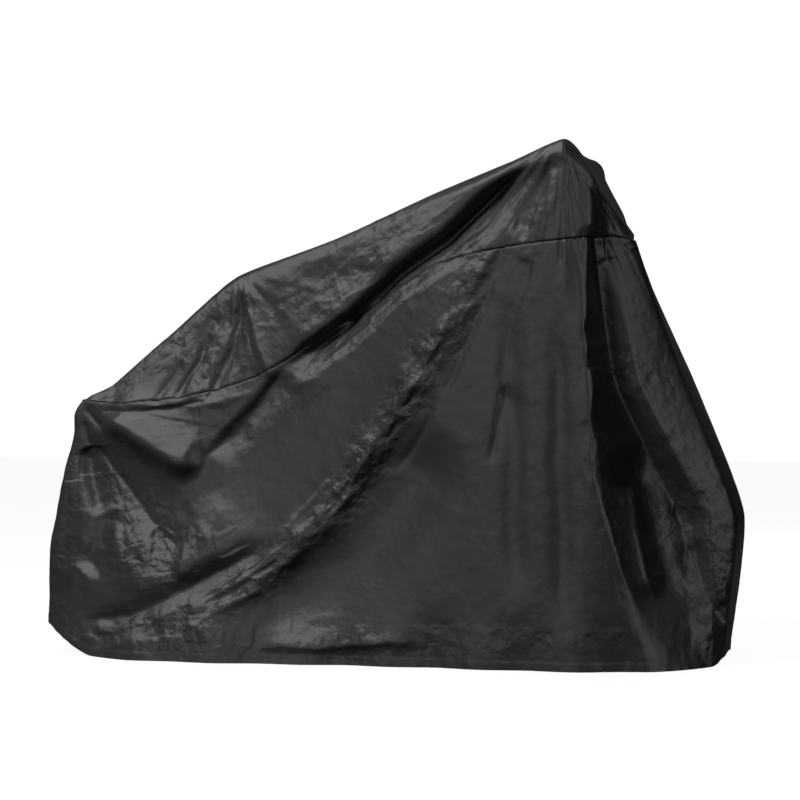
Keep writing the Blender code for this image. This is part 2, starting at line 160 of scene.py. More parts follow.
# The main folds, as the solids have them but for a shallower long valley. They move the cloth along Y.
NEAR_FOLDS: dict[str, Crease] = {
    "valley from the grip to the rack": Crease(
        ((0.42, 1.17), (0.31, 1.09), (0.18, 0.975), (0.07, 0.905), (-0.09, 0.765), (-0.26, 0.66)),
        0.052, 0.020, -0.030),
    "lip over that valley": Crease(
        ((0.42, 1.20), (0.29, 1.12), (0.16, 1.005), (0.05, 0.935), (-0.11, 0.795), (-0.28, 0.69)),
        0.020, 0.055, 0.010),
    "roll under that valley": Crease(
        ((0.22, 0.96), (0.07, 0.85), (-0.09, 0.72), (-0.22, 0.60)), 0.045, 0.045, 0.012),
    "crease behind the grip": Crease(
        ((0.455, 1.17), (0.41, 1.10), (0.36, 1.03), (0.35, 0.97)), 0.024, 0.016, -0.010),
    "crease under the saddle": Crease(
        ((-0.22, 0.69), (-0.29, 0.60), (-0.33, 0.56), (-0.41, 0.48)), 0.045, 0.015, -0.014),
    "long roll from the grip to the rear wheel": Crease(
        ((0.26, 0.93), (0.23, 0.84), (0.16, 0.73), (0.04, 0.54), (-0.11, 0.32), (-0.29, 0.17),
         (-0.46, 0.07)),
        0.030, 0.068, 0.013),
    "hollow under the long roll": Crease(
        ((0.18, 0.56), (0.07, 0.38), (-0.02, 0.25), (-0.16, 0.14), (-0.30, 0.08)),
        0.085, 0.095, -0.024),
    "facet behind the saddle": Crease(
        ((-0.70, 0.58), (-0.61, 0.54), (-0.50, 0.48), (-0.41, 0.46)), 0.062, 0.040, 0.030),
    "wedge under the rack": Crease(
        ((-0.75, 0.50), (-0.72, 0.41), (-0.69, 0.33)), 0.040, 0.024, -0.016),
    "dip behind the rear wheel": Crease(
        ((-0.66, 0.36), (-0.68, 0.27), (-0.73, 0.19)), 0.035, 0.035, -0.014),
    "sweep over the rear hem": Crease(
        ((-0.20, 0.29), (-0.31, 0.24), (-0.40, 0.19), (-0.49, 0.15), (-0.60, 0.10), (-0.74, 0.08)),
        0.050, 0.028, -0.012),
    "roll over the sweep": Crease(
        ((-0.24, 0.34), (-0.36, 0.27), (-0.50, 0.21), (-0.66, 0.16)), 0.034, 0.050, 0.008),
    "curtain flute behind the grip": Crease(
        ((0.335, 0.86), (0.34, 0.52), (0.34, 0.14)), 0.034, 0.034, -0.006),
    "curtain flute under the grip": Crease(
        ((0.44, 0.88), (0.45, 0.48), (0.45, 0.10)), 0.032, 0.032, -0.006),
    "rib in the front valley": Crease(
        ((0.60, 0.44), (0.63, 0.30), (0.67, 0.16)), 0.028, 0.028, 0.018),
    "crease at the front hem": Crease(
        ((0.72, 0.30), (0.745, 0.20), (0.79, 0.09)), 0.028, 0.028, -0.014),
}

FAR_FOLDS: dict[str, Crease] = {
    "valley from the grip to the rack": Crease(
        ((0.36, 1.12), (0.15, 0.97), (-0.05, 0.82), (-0.28, 0.66)), 0.045, 0.045, -0.022),
    "long roll from the grip": Crease(
        ((0.30, 0.90), (0.16, 0.62), (-0.02, 0.36), (-0.22, 0.12)), 0.080, 0.080, 0.040),
    "hollow under the saddle": Crease(
        ((-0.28, 0.58), (-0.24, 0.38), (-0.16, 0.20)), 0.085, 0.085, -0.034),
    "sweep over the rear hem": Crease(
        ((-0.34, 0.30), (-0.52, 0.19), (-0.72, 0.13)), 0.080, 0.080, -0.030),
    "roll behind the saddle": Crease(
        ((-0.68, 0.54), (-0.52, 0.42), (-0.40, 0.30)), 0.080, 0.080, 0.030),
    "curtain flute": Crease(
        ((0.40, 0.80), (0.41, 0.16)), 0.070, 0.070, -0.020),
}

# The finer creases, which move the cloth along its own normal.
NEAR_CREASES: dict[str, Crease] = {
    "lip over the long valley": Crease(
        ((0.44, 1.16), (0.34, 1.13), (0.20, 1.01), (0.08, 0.94), (-0.08, 0.81), (-0.24, 0.71)),
        0.020, 0.045, 0.006, Profile.LAP),
    "floor of the long valley": Crease(
        ((0.40, 1.16), (0.31, 1.09), (0.18, 0.97), (0.07, 0.90), (-0.09, 0.77), (-0.24, 0.67)),
        0.012, 0.012, -0.004, Profile.EDGE),
    "streak down the peak": Crease(
        ((0.45, 1.16), (0.44, 1.07), (0.41, 1.01), (0.39, 0.96)), 0.012, 0.012, 0.004, Profile.EDGE),
    "first saddle fold": Crease(
        ((-0.345, 0.89), (-0.355, 0.81), (-0.37, 0.74), (-0.395, 0.69), (-0.42, 0.61)),
        0.034, 0.013, -0.018, Profile.EDGE),
    "ridge by the first saddle fold": Crease(
        ((-0.34, 0.90), (-0.315, 0.80), (-0.285, 0.73), (-0.255, 0.65)),
        0.024, 0.036, 0.010, Profile.EDGE),
    "second saddle fold": Crease(
        ((-0.43, 0.78), (-0.46, 0.70), (-0.49, 0.65), (-0.51, 0.60)),
        0.026, 0.011, -0.014, Profile.EDGE),
    "third saddle fold": Crease(
        ((-0.49, 0.71), (-0.53, 0.65), (-0.57, 0.60)), 0.020, 0.010, -0.010, Profile.EDGE),
    "fold under the rear seam": Crease(
        ((-0.72, 0.585), (-0.60, 0.590), (-0.50, 0.595), (-0.42, 0.615)),
        0.007, 0.026, -0.012, Profile.EDGE),
    "first rack pleat": Crease(
        ((-0.750, 0.592), (-0.728, 0.565), (-0.700, 0.540)), 0.012, 0.007, -0.008, Profile.EDGE),
    "second rack pleat": Crease(
        ((-0.755, 0.560), (-0.745, 0.520), (-0.735, 0.460)), 0.012, 0.007, -0.007, Profile.EDGE),
    "facet's top edge": Crease(
        ((-0.64, 0.60), (-0.43, 0.60), (-0.27, 0.64)), 0.018, 0.020, 0.006, Profile.EDGE),
    "facet's ridge": Crease(
        ((-0.71, 0.59), (-0.61, 0.54), (-0.51, 0.48), (-0.43, 0.44)),
        0.024, 0.050, 0.012, Profile.EDGE),
    "dark fold under the saddle": Crease(
        ((-0.22, 0.69), (-0.29, 0.60), (-0.34, 0.54), (-0.45, 0.46)),
        0.024, 0.008, -0.006, Profile.EDGE),
    "fold off the rack": Crease(
        ((-0.76, 0.54), (-0.70, 0.47), (-0.61, 0.38), (-0.52, 0.29), (-0.44, 0.24)),
        0.034, 0.014, -0.008, Profile.EDGE),
    "valley from the rack to the pedals": Crease(
        ((-0.76, 0.54), (-0.70, 0.47), (-0.61, 0.38), (-0.52, 0.29), (-0.43, 0.24)),
        0.080, 0.075, -0.012),
    "wedge's fold": Crease(
        ((-0.76, 0.51), (-0.73, 0.41), (-0.70, 0.34)), 0.020, 0.010, -0.005, Profile.EDGE),
    "curve at the rear": Crease(
        ((-0.70, 0.34), (-0.71, 0.26), (-0.75, 0.20)), 0.016, 0.016, -0.003, Profile.EDGE),
    "fold over the rear hem": Crease(
        ((-0.24, 0.27), (-0.31, 0.24), (-0.40, 0.19), (-0.49, 0.15), (-0.60, 0.10), (-0.74, 0.08)),
        0.020, 0.012, -0.008, Profile.EDGE),
    "thin crease over it": Crease(
        ((-0.14, 0.38), (-0.19, 0.32), (-0.27, 0.21), (-0.39, 0.14)),
        0.009, 0.014, 0.005, Profile.EDGE),
    "short thin crease": Crease(
        ((-0.09, 0.44), (-0.17, 0.34)), 0.009, 0.009, 0.004, Profile.EDGE),
    "crumpled ridge": Crease(
        ((0.26, 0.93), (0.24, 0.86), (0.16, 0.74), (0.09, 0.61), (0.03, 0.52), (-0.05, 0.40),
         (-0.11, 0.32),
         (-0.19, 0.24), (-0.29, 0.17), (-0.37, 0.11), (-0.46, 0.06)),
        0.024, 0.040, 0.005, Profile.EDGE),
    "upper streak by the ridge": Crease(
        ((0.325, 1.00), (0.31, 0.94), (0.285, 0.86), (0.255, 0.79)),
        0.008, 0.014, -0.006, Profile.EDGE),
    "middle streak by the ridge": Crease(
        ((0.27, 0.85), (0.245, 0.77), (0.20, 0.67), (0.17, 0.61)), 0.008, 0.014, -0.006, Profile.EDGE),
    "lower streak by the ridge": Crease(
        ((0.16, 0.62), (0.14, 0.56), (0.10, 0.50), (0.05, 0.44)), 0.008, 0.014, -0.005, Profile.EDGE),
    "first diamond": Crease(((0.12, 0.64), (0.07, 0.58)), 0.014, 0.014, -0.009, Profile.EDGE),
    "second diamond": Crease(((0.08, 0.57), (0.03, 0.51)), 0.014, 0.014, -0.007, Profile.EDGE),
    "lens in the curtain": Crease(
        ((0.33, 0.65), (0.305, 0.56), (0.285, 0.46)), 0.022, 0.009, -0.009, Profile.EDGE),
    "first curtain flute": Crease(
        ((0.335, 0.84), (0.325, 0.66), (0.345, 0.50), (0.335, 0.36), (0.35, 0.22), (0.335, 0.12)),
        0.030, 0.022, -0.005, Profile.ROLL),
    "second curtain flute": Crease(
        ((0.44, 0.80), (0.45, 0.64), (0.44, 0.48), (0.455, 0.33), (0.45, 0.20), (0.46, 0.07)),
        0.026, 0.018, -0.005, Profile.ROLL),
    "curtain's edge": Crease(
        ((0.50, 0.96), (0.51, 0.72), (0.52, 0.50), (0.54, 0.38), (0.58, 0.23), (0.65, 0.10)),
        0.012, 0.020, 0.008, Profile.EDGE),
    "hollow by the front valley's rib": Crease(
        ((0.59, 0.52), (0.63, 0.40), (0.665, 0.27), (0.71, 0.12)), 0.024, 0.060, -0.018, Profile.ROLL),
    "fill of the front valley's head": Crease(
        ((0.500, 1.19), (0.512, 1.09), (0.524, 0.97)), 0.022, 0.022, 0.016, Profile.ROLL),
    "front valley's rib": Crease(
        ((0.60, 0.44), (0.62, 0.37), (0.64, 0.23), (0.67, 0.14)), 0.006, 0.008, 0.005, Profile.EDGE),
    "fold at the front hem": Crease(
        ((0.73, 0.28), (0.75, 0.18), (0.81, 0.08)), 0.012, 0.012, -0.006, Profile.EDGE),
    "fold at the rear": Crease(
        ((-0.77, 0.27), (-0.81, 0.19), (-0.84, 0.12)), 0.014, 0.014, -0.006, Profile.EDGE),
    "first pucker": Crease
        (((0.450, 1.000), (0.452, 0.965), (0.455, 0.915)), 0.006, 0.006, -0.004, Profile.EDGE),
    "second pucker": Crease
        (((0.500, 0.990), (0.502, 0.965), (0.503, 0.940)), 0.005, 0.005, -0.004, Profile.EDGE),
    "third pucker": Crease
        (((0.545, 1.000), (0.547, 0.965), (0.552, 0.915)), 0.006, 0.006, -0.004, Profile.EDGE),
    "roll along the hem": Crease(
        ((0.14, 0.060), (-0.07, 0.040), (-0.28, 0.032)), 0.012, 0.050, 0.012, Profile.EDGE),
}

FAR_CREASES: dict[str, Crease] = {
    "floor of the long valley": Crease(
        ((0.36, 1.12), (0.15, 0.97), (-0.05, 0.82), (-0.28, 0.66)), 0.014, 0.014, -0.007, Profile.EDGE),
    "long ridge": Crease(
        ((0.30, 0.90), (0.16, 0.62), (-0.02, 0.36), (-0.22, 0.12)), 0.026, 0.018, 0.010, Profile.EDGE),
    "saddle fold": Crease(
        ((-0.36, 0.88), (-0.38, 0.74), (-0.44, 0.58)), 0.018, 0.018, 0.007, Profile.EDGE),
    "ridge off the rack": Crease(
        ((-0.74, 0.55), (-0.58, 0.42), (-0.44, 0.24)), 0.020, 0.016, 0.008, Profile.EDGE),
    "curtain flute": Crease(((0.40, 0.84), (0.41, 0.10)), 0.014, 0.018, -0.007, Profile.EDGE),
    "curtain's edge": Crease(
        ((0.50, 0.92), (0.53, 0.50), (0.64, 0.12)), 0.014, 0.020, 0.007, Profile.EDGE),
}


class Fan(NamedTuple):
    """Wrinkles that spread from a high point (x, z) where something under the cloth holds it up.

    spread is the angle between two wrinkles in radians, length how far one runs before it dies out,
    reach how far from the point they go, and height how far they stand out.
    """

    centre: Place
    spread: float
    length: float
    reach: float
    height: float
    seed: int


FANS: dict[str, Fan] = {
    "broad from the grip": Fan((0.455, 1.215), 0.085, 0.30, 0.50, 0.0062, 11),
    "fine from the grip": Fan((0.455, 1.215), 0.040, 0.14, 0.40, 0.0036, 12),
    "from the saddle": Fan((-0.370, 0.930), 0.160, 0.16, 0.36, 0.0052, 13),
    "from the rack": Fan((-0.760, 0.630), 0.150, 0.20, 0.50, 0.0038, 14),
}


class Band(NamedTuple):
    """Crumples along a fold: facets `along` long and `across` wide, out to a reach from its path."""

    path: tuple[Place, ...]
    reach: float
    along: float
    across: float
    height: float
    seed: int


NEAR_BANDS: dict[str, Band] = {
    "long ridge": Band(
        ((0.27, 0.94), (0.22, 0.84), (0.15, 0.74), (0.03, 0.55), (-0.12, 0.33), (-0.30, 0.18),
         (-0.47, 0.07)),
        0.030, 0.036, 0.015, 0.0060, 71),
    "under the long valley": Band(
        ((0.33, 1.03), (0.20, 0.93), (0.06, 0.85), (-0.10, 0.72), (-0.24, 0.60)),
        0.040, 0.150, 0.018, 0.0042, 72),
    "over the rear hem": Band(
        ((-0.22, 0.22), (-0.40, 0.12), (-0.62, 0.06), (-0.74, 0.05)), 0.040, 0.045, 0.018, 0.0042, 73),
    "curtain's edge": Band(
        ((0.505, 0.86), (0.515, 0.60), (0.53, 0.42), (0.57, 0.25), (0.63, 0.12)),
        0.024, 0.060, 0.022, 0.0048, 75),
    "below the rack": Band(
        ((-0.74, 0.42), (-0.62, 0.28), (-0.45, 0.27), (-0.30, 0.33)), 0.085, 0.085, 0.060, 0.0085, 76),
    "over the long valley": Band(
        ((-0.25, 0.80), (-0.05, 0.90), (0.15, 1.02)), 0.065, 0.060, 0.036, 0.0042, 77),
    "behind the saddle": Band
        (((-0.38, 0.86), (-0.42, 0.72), (-0.48, 0.62)), 0.060, 0.060, 0.024, 0.0045, 74),
}


class Patch(NamedTuple):
    """Where handling has crumpled the cloth: along a path of (x, z) points, out to a reach."""

    path: tuple[Place, ...]
    reach: float
    amount: float


PATCHES: dict[str, Patch] = {
    "crest of the long ridge": Patch(
        ((0.27, 0.92), (0.22, 0.82), (0.13, 0.69), (0.04, 0.54), (-0.06, 0.40)), 0.040, 1.25),
    "foot of the long ridge": Patch(((-0.06, 0.40), (-0.20, 0.24), (-0.46, 0.06)), 0.045, 0.90),
    "under the long valley": Patch
        (((0.20, 0.94), (0.05, 0.85), (-0.09, 0.73), (-0.24, 0.61)), 0.045, 0.35),
    "behind the saddle": Patch(((-0.30, 0.80), (-0.10, 0.88), (0.05, 0.97)), 0.100, 0.45),
    "under the saddle": Patch(((-0.40, 0.80), (-0.44, 0.66)), 0.090, 0.60),
    "over the rack": Patch(((-0.72, 0.65), (-0.56, 0.76)), 0.060, 0.80),
    "under the rack": Patch(((-0.70, 0.44), (-0.62, 0.30), (-0.50, 0.25)), 0.090, 0.75),
    "rear end": Patch(((-0.82, 0.42), (-0.82, 0.15)), 0.070, 0.70),
    "rear hem": Patch(((-0.70, 0.05), (-0.30, 0.05), (0.10, 0.06)), 0.050, 0.55),
    "long facet": Patch(((-0.60, 0.56), (-0.35, 0.53)), 0.040, 0.45),
    "hem below the curtain": Patch(((0.15, 0.07), (0.60, 0.07)), 0.030, 0.45),
    "front strip": Patch(((0.62, 0.66), (0.76, 0.40)), 0.060, 0.35),
    "front hem": Patch(((0.72, 0.36), (0.78, 0.22), (0.77, 0.08)), 0.070, 0.60),
    "peak": Patch(((0.45, 1.15), (0.38, 1.00)), 0.050, 0.40),
}
CALM_AMOUNT = 0.13
PATCH_WANDER = 0.05

# Isotropic crumples: (size, height, seed).
CRUMPLES: tuple[tuple[float, float, int], ...] = (
    (0.105, 0.0040, 21),
    (0.046, 0.0034, 22),
    (0.023, 0.0019, 23),
)

# The elastic in the hem draws the lowest cloth into shallow waves.
HEM_WAVE_HEIGHT = 0.007
HEM_WAVE_LENGTH = 0.21
HEM_WAVE_REACH = 0.16

# The shares of a crease's and a band's length over which they rise from nothing at each end, and how
# far in metres their paths wander.
FOLD_RISE = 0.2
BAND_RISE = 0.14
CREASE_WOBBLE = 0.008
BAND_WOBBLE = 0.012

# The rack's end holds the rear top corner out.
RACK_END_X = -0.735
RACK_END_Z = 0.582
RACK_END_REACH = 0.036
RACK_END_PUSH = 0.016

# How the cloth settles: the steps, the share of a thread's error that each end takes up in a step, and
# the share of the way to its neighbours' mean that a point moves in a step.
SETTLING_STEPS = 160
THREAD_PULL = 0.13
THREAD_EASE = 0.0015

# Random vectors in each table of the noise, a prime number.
CELLS = 4093


# ---------------------------------------------------------------------------------------------------
# Curves and noise as whole arrays


def smoothstep(t: Array) -> Array:
    """0 below 0, 1 above 1, and a smooth rise between."""
    t = np.clip(t, 0, 1)
    return t * t * (3 - 2 * t)


def unit(vectors: Array) -> Array:
    """The vectors at length 1."""
    return vectors / np.linalg.norm(vectors, axis=-1, keepdims=True)


def hermite(knots: Array, values: Array, at: Array, tautness: float = TAUTNESS) -> Array:
    """Reads smooth curves through `values` (cubic Hermite with slopes drawn in by the tautness).

    Args:
        knots: the places of the values, rising.
        values: one curve for each column, of shape (knots, columns, size).
        at: the places to read, of shape (rows, columns).
        tautness: 0 for a soft curve, 1 for a nearly straight one.

    Returns:
        The points, of shape (rows, columns, size).
    """
    slopes = np.gradient(values, knots, axis=0) * (1 - tautness)
    first = np.clip(np.searchsorted(knots, at, side="right") - 1, 0, len(knots) - 2)
    column = np.arange(values.shape[1])[None, :]
    width = (knots[first + 1] - knots[first])[..., None]
    t = (at - knots[first])[..., None] / width
    start, end = values[first, column], values[first + 1, column]
    leaving, arriving = slopes[first, column] * width, slopes[first + 1, column] * width
    bend = t * (1 - t) * (leaving * (1 - t) - arriving * t)
    return start + (end - start) * smoothstep(t) + bend


def cell_table(seed: int, size: int, width: int) -> Array:
    """Random numbers from -1 to 1, a row of `width` for each of `size` cells."""
    return np.random.default_rng(seed).uniform(-1, 1, (size, width))


def cell_row(cell: Array, size: int) -> Array:
    """The table row of each lattice cell: its three whole numbers mixed by large primes."""
    mixed = cell[..., 0] * 73856093 ^ cell[..., 1] * 19349663 ^ cell[..., 2] * 83492791
    return mixed % size


def noise(points: Array, size: float, seed: int) -> Array:
    """Smooth gradient noise, about -0.6 to 0.6: random vectors' dot products, blended in each cell.

    Args:
        points: the points, with (x, y, z) last.
        size: the size of a cell in metres.
        seed: which random vectors.

    Returns:
        The noise at each point.
    """
    table = cell_table(seed, CELLS, 3)
    q = points / size
    base = np.floor(q).astype(np.int64)
    inner = q - base
    weight = smoothstep(inner)
    total = np.zeros(points.shape[:-1])
    for corner in np.ndindex(2, 2, 2):
        offset = np.array(corner)
        away = inner - offset
        share = np.prod(np.where(offset, weight, 1 - weight), axis=-1)
        total += share * np.sum(table[cell_row(base + offset, CELLS)] * away, axis=-1)
    return total


def facets(q: Array, seed: int, tilt: float = 2.2) -> Array:
    """Crumpled facets: in each unit cell a tilted dish, and the highest of the nearest dishes counts.

    A dish is tilt * (random slope . away) - |away|^2, so two neighbours meet in a sharp valley. The
    lowest of a second set of dishes, turned over, is added, so that sharp ridges cross the valleys.

    Args:
        q: the places in cells, with three coordinates last.
        seed: which random dishes.
        tilt: how steep the dishes are.

    Returns:
        The height at each place.
    """
    base = np.floor(q).astype(np.int64)
    table = cell_table(seed, CELLS, 12)
    upper = np.full(q.shape[:-1], -9.0)
    lower = np.full(q.shape[:-1], 9.0)
    for corner in np.ndindex(3, 3, 3):
        cell = base + np.array(corner) - 1
        draw = table[cell_row(cell, CELLS)]
        away = q - cell - 0.5 - 0.45 * draw[..., 0:3]
        square = np.sum(away**2, axis=-1)
        upper = np.maximum(upper, tilt * np.sum(draw[..., 3:6] * away, axis=-1) - square)
        away = q - cell - 0.5 - 0.45 * draw[..., 6:9]
        square = np.sum(away**2, axis=-1)
        lower = np.minimum(lower, tilt * np.sum(draw[..., 9:12] * away, axis=-1) + square)
    return (upper + lower) * (0.9 / tilt)


def distance_to_path(x: Array, z: Array, path: tuple[Place, ...]) -> tuple[Array, Array]:
    """Signed distance of each (x, z) to the path, positive on its left, and the place on it, 0 to 1.

    Args:
        x: the points' x.
        z: the points' z.
        path: the path's corners.

    Returns:
        The signed distances in metres, and the places along the path.
    """
    line = np.array(path)
    steps = np.diff(line, axis=0)
    lengths = np.linalg.norm(steps, axis=1)
    starts = np.concatenate([[0], np.cumsum(lengths)])
    nearest = np.full(x.shape, np.inf)
    signed = np.zeros(x.shape)
    place = np.zeros(x.shape)
    for start, step, length, before in zip(line, steps, lengths, starts):
        dx, dz = x - start[0], z - start[1]
        t = np.clip((dx * step[0] + dz * step[1]) / length**2, 0, 1)
        away = np.hypot(dx - t * step[0], dz - t * step[1])
        side = np.sign(step[0] * dz - step[1] * dx)
        closer = away < nearest
        nearest = np.where(closer, away, nearest)
        signed = np.where(closer, away * side, signed)
        place = np.where(closer, before + t * length, place)
    return signed, place / starts[-1]


def across(profile: Profile, d: Array) -> Array:
    """The profile's height, 1 at its line, at d half-widths to its left (positive) or right.

    Args:
        profile: the shape across a crease.
        d: the distance from its line in half-widths.

    Returns:
        The height at each distance.
    """
    if profile is Profile.ROLL:
        return np.exp(-(d**2))
    if profile is Profile.EDGE:
        return np.exp(-1.4 * np.sqrt(d**2 + 0.02))
    return np.where(d > 0, np.exp(-((2.2 * d) ** 2)), np.exp(-0.9 * np.abs(d)))


def crease_height(points: Array, creases: dict[str, Crease], wobble: float = 0.0) -> Array:
    """How far the creases move each point outward, with their paths made uneven by the wobble.

    Args:
        points: the points, with (x, y, z) last.
        creases: the creases by name.
        wobble: how uneven their paths are, in metres.

    Returns:
        The height at each point in metres.
    """
    x, z = points[..., 0], points[..., 2]
    if wobble:
        x = x + wobble * (noise(points, 0.09, 31) + 0.5 * noise(points, 0.035, 32))
        z = z + wobble * (noise(points, 0.09, 33) + 0.5 * noise(points, 0.035, 34))
    total = np.zeros(x.shape)
    for crease in creases.values():
        signed, place = distance_to_path(x, z, crease.path)
        d = signed / np.where(signed > 0, crease.left, crease.right)
        fade = smoothstep(place / FOLD_RISE) * smoothstep((1 - place) / FOLD_RISE)
        total += crease.height * across(crease.profile, d) * fade
    return total


def fan_height(points: Array, fan: Fan) -> Array:
    """How far a fan's wrinkles move each point: facets that are long and thin along its rays.

    Args:
        points: the points, with (x, y, z) last.
        fan: the fan.

    Returns:
        The height at each point in metres.
    """
    dx, dz = points[..., 0] - fan.centre[0], points[..., 2] - fan.centre[1]
    far = np.hypot(dx, dz)
    angle = np.arctan2(dx, -dz) + 0.25 * noise(points, 0.30, fan.seed)
    q = np.stack([angle / fan.spread, far / fan.length, points[..., 1] / fan.length], axis=-1)
    rise = smoothstep(far / 0.10) * np.exp(-((far / fan.reach) ** 2))
    return fan.height * facets(q, fan.seed) * rise


def band_height(points: Array, bands: dict[str, Band]) -> Array:
    """How far the bands of crumples move each point.

    Args:
        points: the points, with (x, y, z) last.
        bands: the bands by name.

    Returns:
        The height at each point in metres.
    """
    total = np.zeros(points.shape[:-1])
    x = points[..., 0] + BAND_WOBBLE * noise(points, 0.06, 38)
    z = points[..., 2] + BAND_WOBBLE * noise(points, 0.06, 39)
    for band in bands.values():
        length = float(np.linalg.norm(np.diff(band.path, axis=0), axis=1).sum())
        signed, place = distance_to_path(x, z, band.path)
        flat = np.zeros(place.shape)
        q = np.stack([place * length / band.along, signed / band.across, flat], axis=-1)
        ends = smoothstep(place / BAND_RISE) * smoothstep((1 - place) / BAND_RISE)
        total += band.height * facets(q, band.seed) * ends * np.exp(-((signed / band.reach) ** 4))
    return total


def crumple_amount(points: Array) -> Array:
    """How crumpled the cloth is at each point: bells across the patches' paths, on a calm ground.

    Args:
        points: the points, with (x, y, z) last.

    Returns:
        The amount at each point.
    """
    amount = np.full(points.shape[:-1], CALM_AMOUNT)
    x = points[..., 0] + PATCH_WANDER * noise(points, 0.10, 35)
    z = points[..., 2] + PATCH_WANDER * noise(points, 0.10, 36)
    for patch in PATCHES.values():
        signed, _ = distance_to_path(x, z, patch.path)
        amount += patch.amount * np.exp(-((signed / patch.reach) ** 2))
    return amount * (1 + 0.8 * noise(points, 0.16, 37))


def crumple_height(points: Array, amount: Array) -> Array:
    """How far the isotropic crumples move each point, as strong as the amount says.

    Args:
        points: the points, with (x, y, z) last.
        amount: how crumpled the cloth is at each point.

    Returns:
        The height at each point in metres.
    """
    total = np.zeros(points.shape[:-1])
    for size, height, seed in CRUMPLES:
        drift = np.stack([noise(points, size, seed + k) for k in (40, 50, 60)], axis=-1)
        bent = points + 0.4 * size * drift
        total += height * facets(bent / size, seed) * amount
    return total


def grid_normals(points: Array, outward: int) -> Array:
    """Unit normals of a grid of points, turned outward by the sign given."""
    return unit(np.cross(np.gradient(points, axis=0), np.gradient(points, axis=1))) * outward


def lengths_along(points: Array, axis: int) -> Array:
    """The distance walked along one axis of a grid of points, from 0 at its first line.

    Args:
        points: the grid of points.
        axis: 0 from column to column, 1 from row to row.

    Returns:
        The distance at each point in metres.
    """
    steps = np.linalg.norm(np.diff(points, axis=axis), axis=-1)
    first = np.zeros_like(steps.take([0], axis=axis))
    return np.concatenate([first, np.cumsum(steps, axis=axis)], axis=axis)


def blurred(values: Array, reach: int) -> Array:
    """The mean of the values in a square window of 2 * reach + 1, by running sums along both axes.

    Args:
        values: a grid of numbers.
        reach: the window's half-width in points.

    Returns:
        The means, of the same shape.
    """
    window = 2 * reach + 1
    for axis in (0, 1):
        pad = [(0, 0), (0, 0)]
        pad[axis] = (reach + 1, reach)
        total = np.cumsum(np.pad(values, pad, mode="edge"), axis=axis)
        span = np.arange(window, total.shape[axis])
        values = (total.take(span, axis=axis) - total.take(span - window, axis=axis)) / window
    return values


# Neighbours along the columns, along the rows and along both diagonals: (start, end) of each thread.
THREADS = (
    (np.s_[:-1, :], np.s_[1:, :]),
    (np.s_[:, :-1], np.s_[:, 1:]),
    (np.s_[:-1, :-1], np.s_[1:, 1:]),
    (np.s_[1:, :-1], np.s_[:-1, 1:]),
)


def settled(
    smooth: Array, rough: Array, steps: int, slack: float = 1.06, reach: int = 7
) -> Array:
    """Lets crumpled cloth settle into flat facets and sharp creases, as cloth that can't stretch does.

    Every thread of the grid has a length: its length in the smooth shape, times the mean excess of the
    rough shape's threads round it. Each step moves both ends of every thread towards that length, and
    then draws each point a little towards the mean of its four neighbours. The grid's edges stay.

    Args:
        smooth: the smooth shape, (columns, rows, 3).
        rough: the same with its crumples, which is where the cloth starts.
        steps: how many times to move all points.
        slack: how many times the excess length the cloth gets.
        reach: the half-width in points over which the excess is averaged.

    Returns:
        The settled shape.
    """
    points = rough.astype(np.float32)
    rests = []
    for start, end in THREADS:
        plain = np.linalg.norm(smooth[end] - smooth[start], axis=-1)
        excess = np.linalg.norm(rough[end] - rough[start], axis=-1) / plain - 1
        spare = slack * np.maximum(blurred(excess, reach), 0)
        rests.append((plain * (1 + spare)).astype(np.float32))
    for _ in range(steps):
        move = np.zeros_like(points)
        for (start, end), rest in zip(THREADS, rests):
            thread = points[end] - points[start]
            length = np.sqrt(np.einsum("ijk,ijk->ij", thread, thread))
            pull = thread * (THREAD_PULL * (1 - rest / length))[..., None]
            move[start] += pull
            move[end] -= pull
        inner = points[1:-1, 1:-1]
        mean = (points[:-2, 1:-1] + points[2:, 1:-1] + points[1:-1, :-2] + points[1:-1, 2:]) / 4
        inner += move[1:-1, 1:-1] + THREAD_EASE * (mean - inner)
    return points.astype(float)


# ---------------------------------------------------------------------------------------------------
# The cloth's shape


@dataclass
class Hem:
    """The turned-up foot of a side panel, with elastic in it.

    stitch is how high its row of thread lies, and calm_reach how high it keeps the cloth above calm.
    """

    width: float = 0.022
    stitch: float = 0.019
    swell: float = 0.0006
    swell_rise: float = 0.003
    groove: float = 0.0005
    groove_width: float = 0.0025
    gather_height: float = 0.0030
    gather_size: float = 0.018
    gather_reach: float = 0.035
    calm_reach: float = 0.05


@dataclass
class Seam:
    """A seam where two panels are sewn edge to edge."""

    depth: float = 0.0030
    width: float = 0.0019
    pucker_height: float = 0.0040
    pucker_size: float = 0.030
    pucker_reach: float = 0.022


@dataclass
class Panel:
    """One piece of cloth as grids of arrays: points and outward normals of shape (columns, rows, 3).

    calm and hanging scale its fine forms, to_seam and to_hem are distances to its seams and its foot,
    and amount is how crumpled it is.
    """

    points: Array
    outward: Array
    calm: Array
    hanging: Array
    to_seam: Array
    to_hem: Array
    amount: Array | None = None


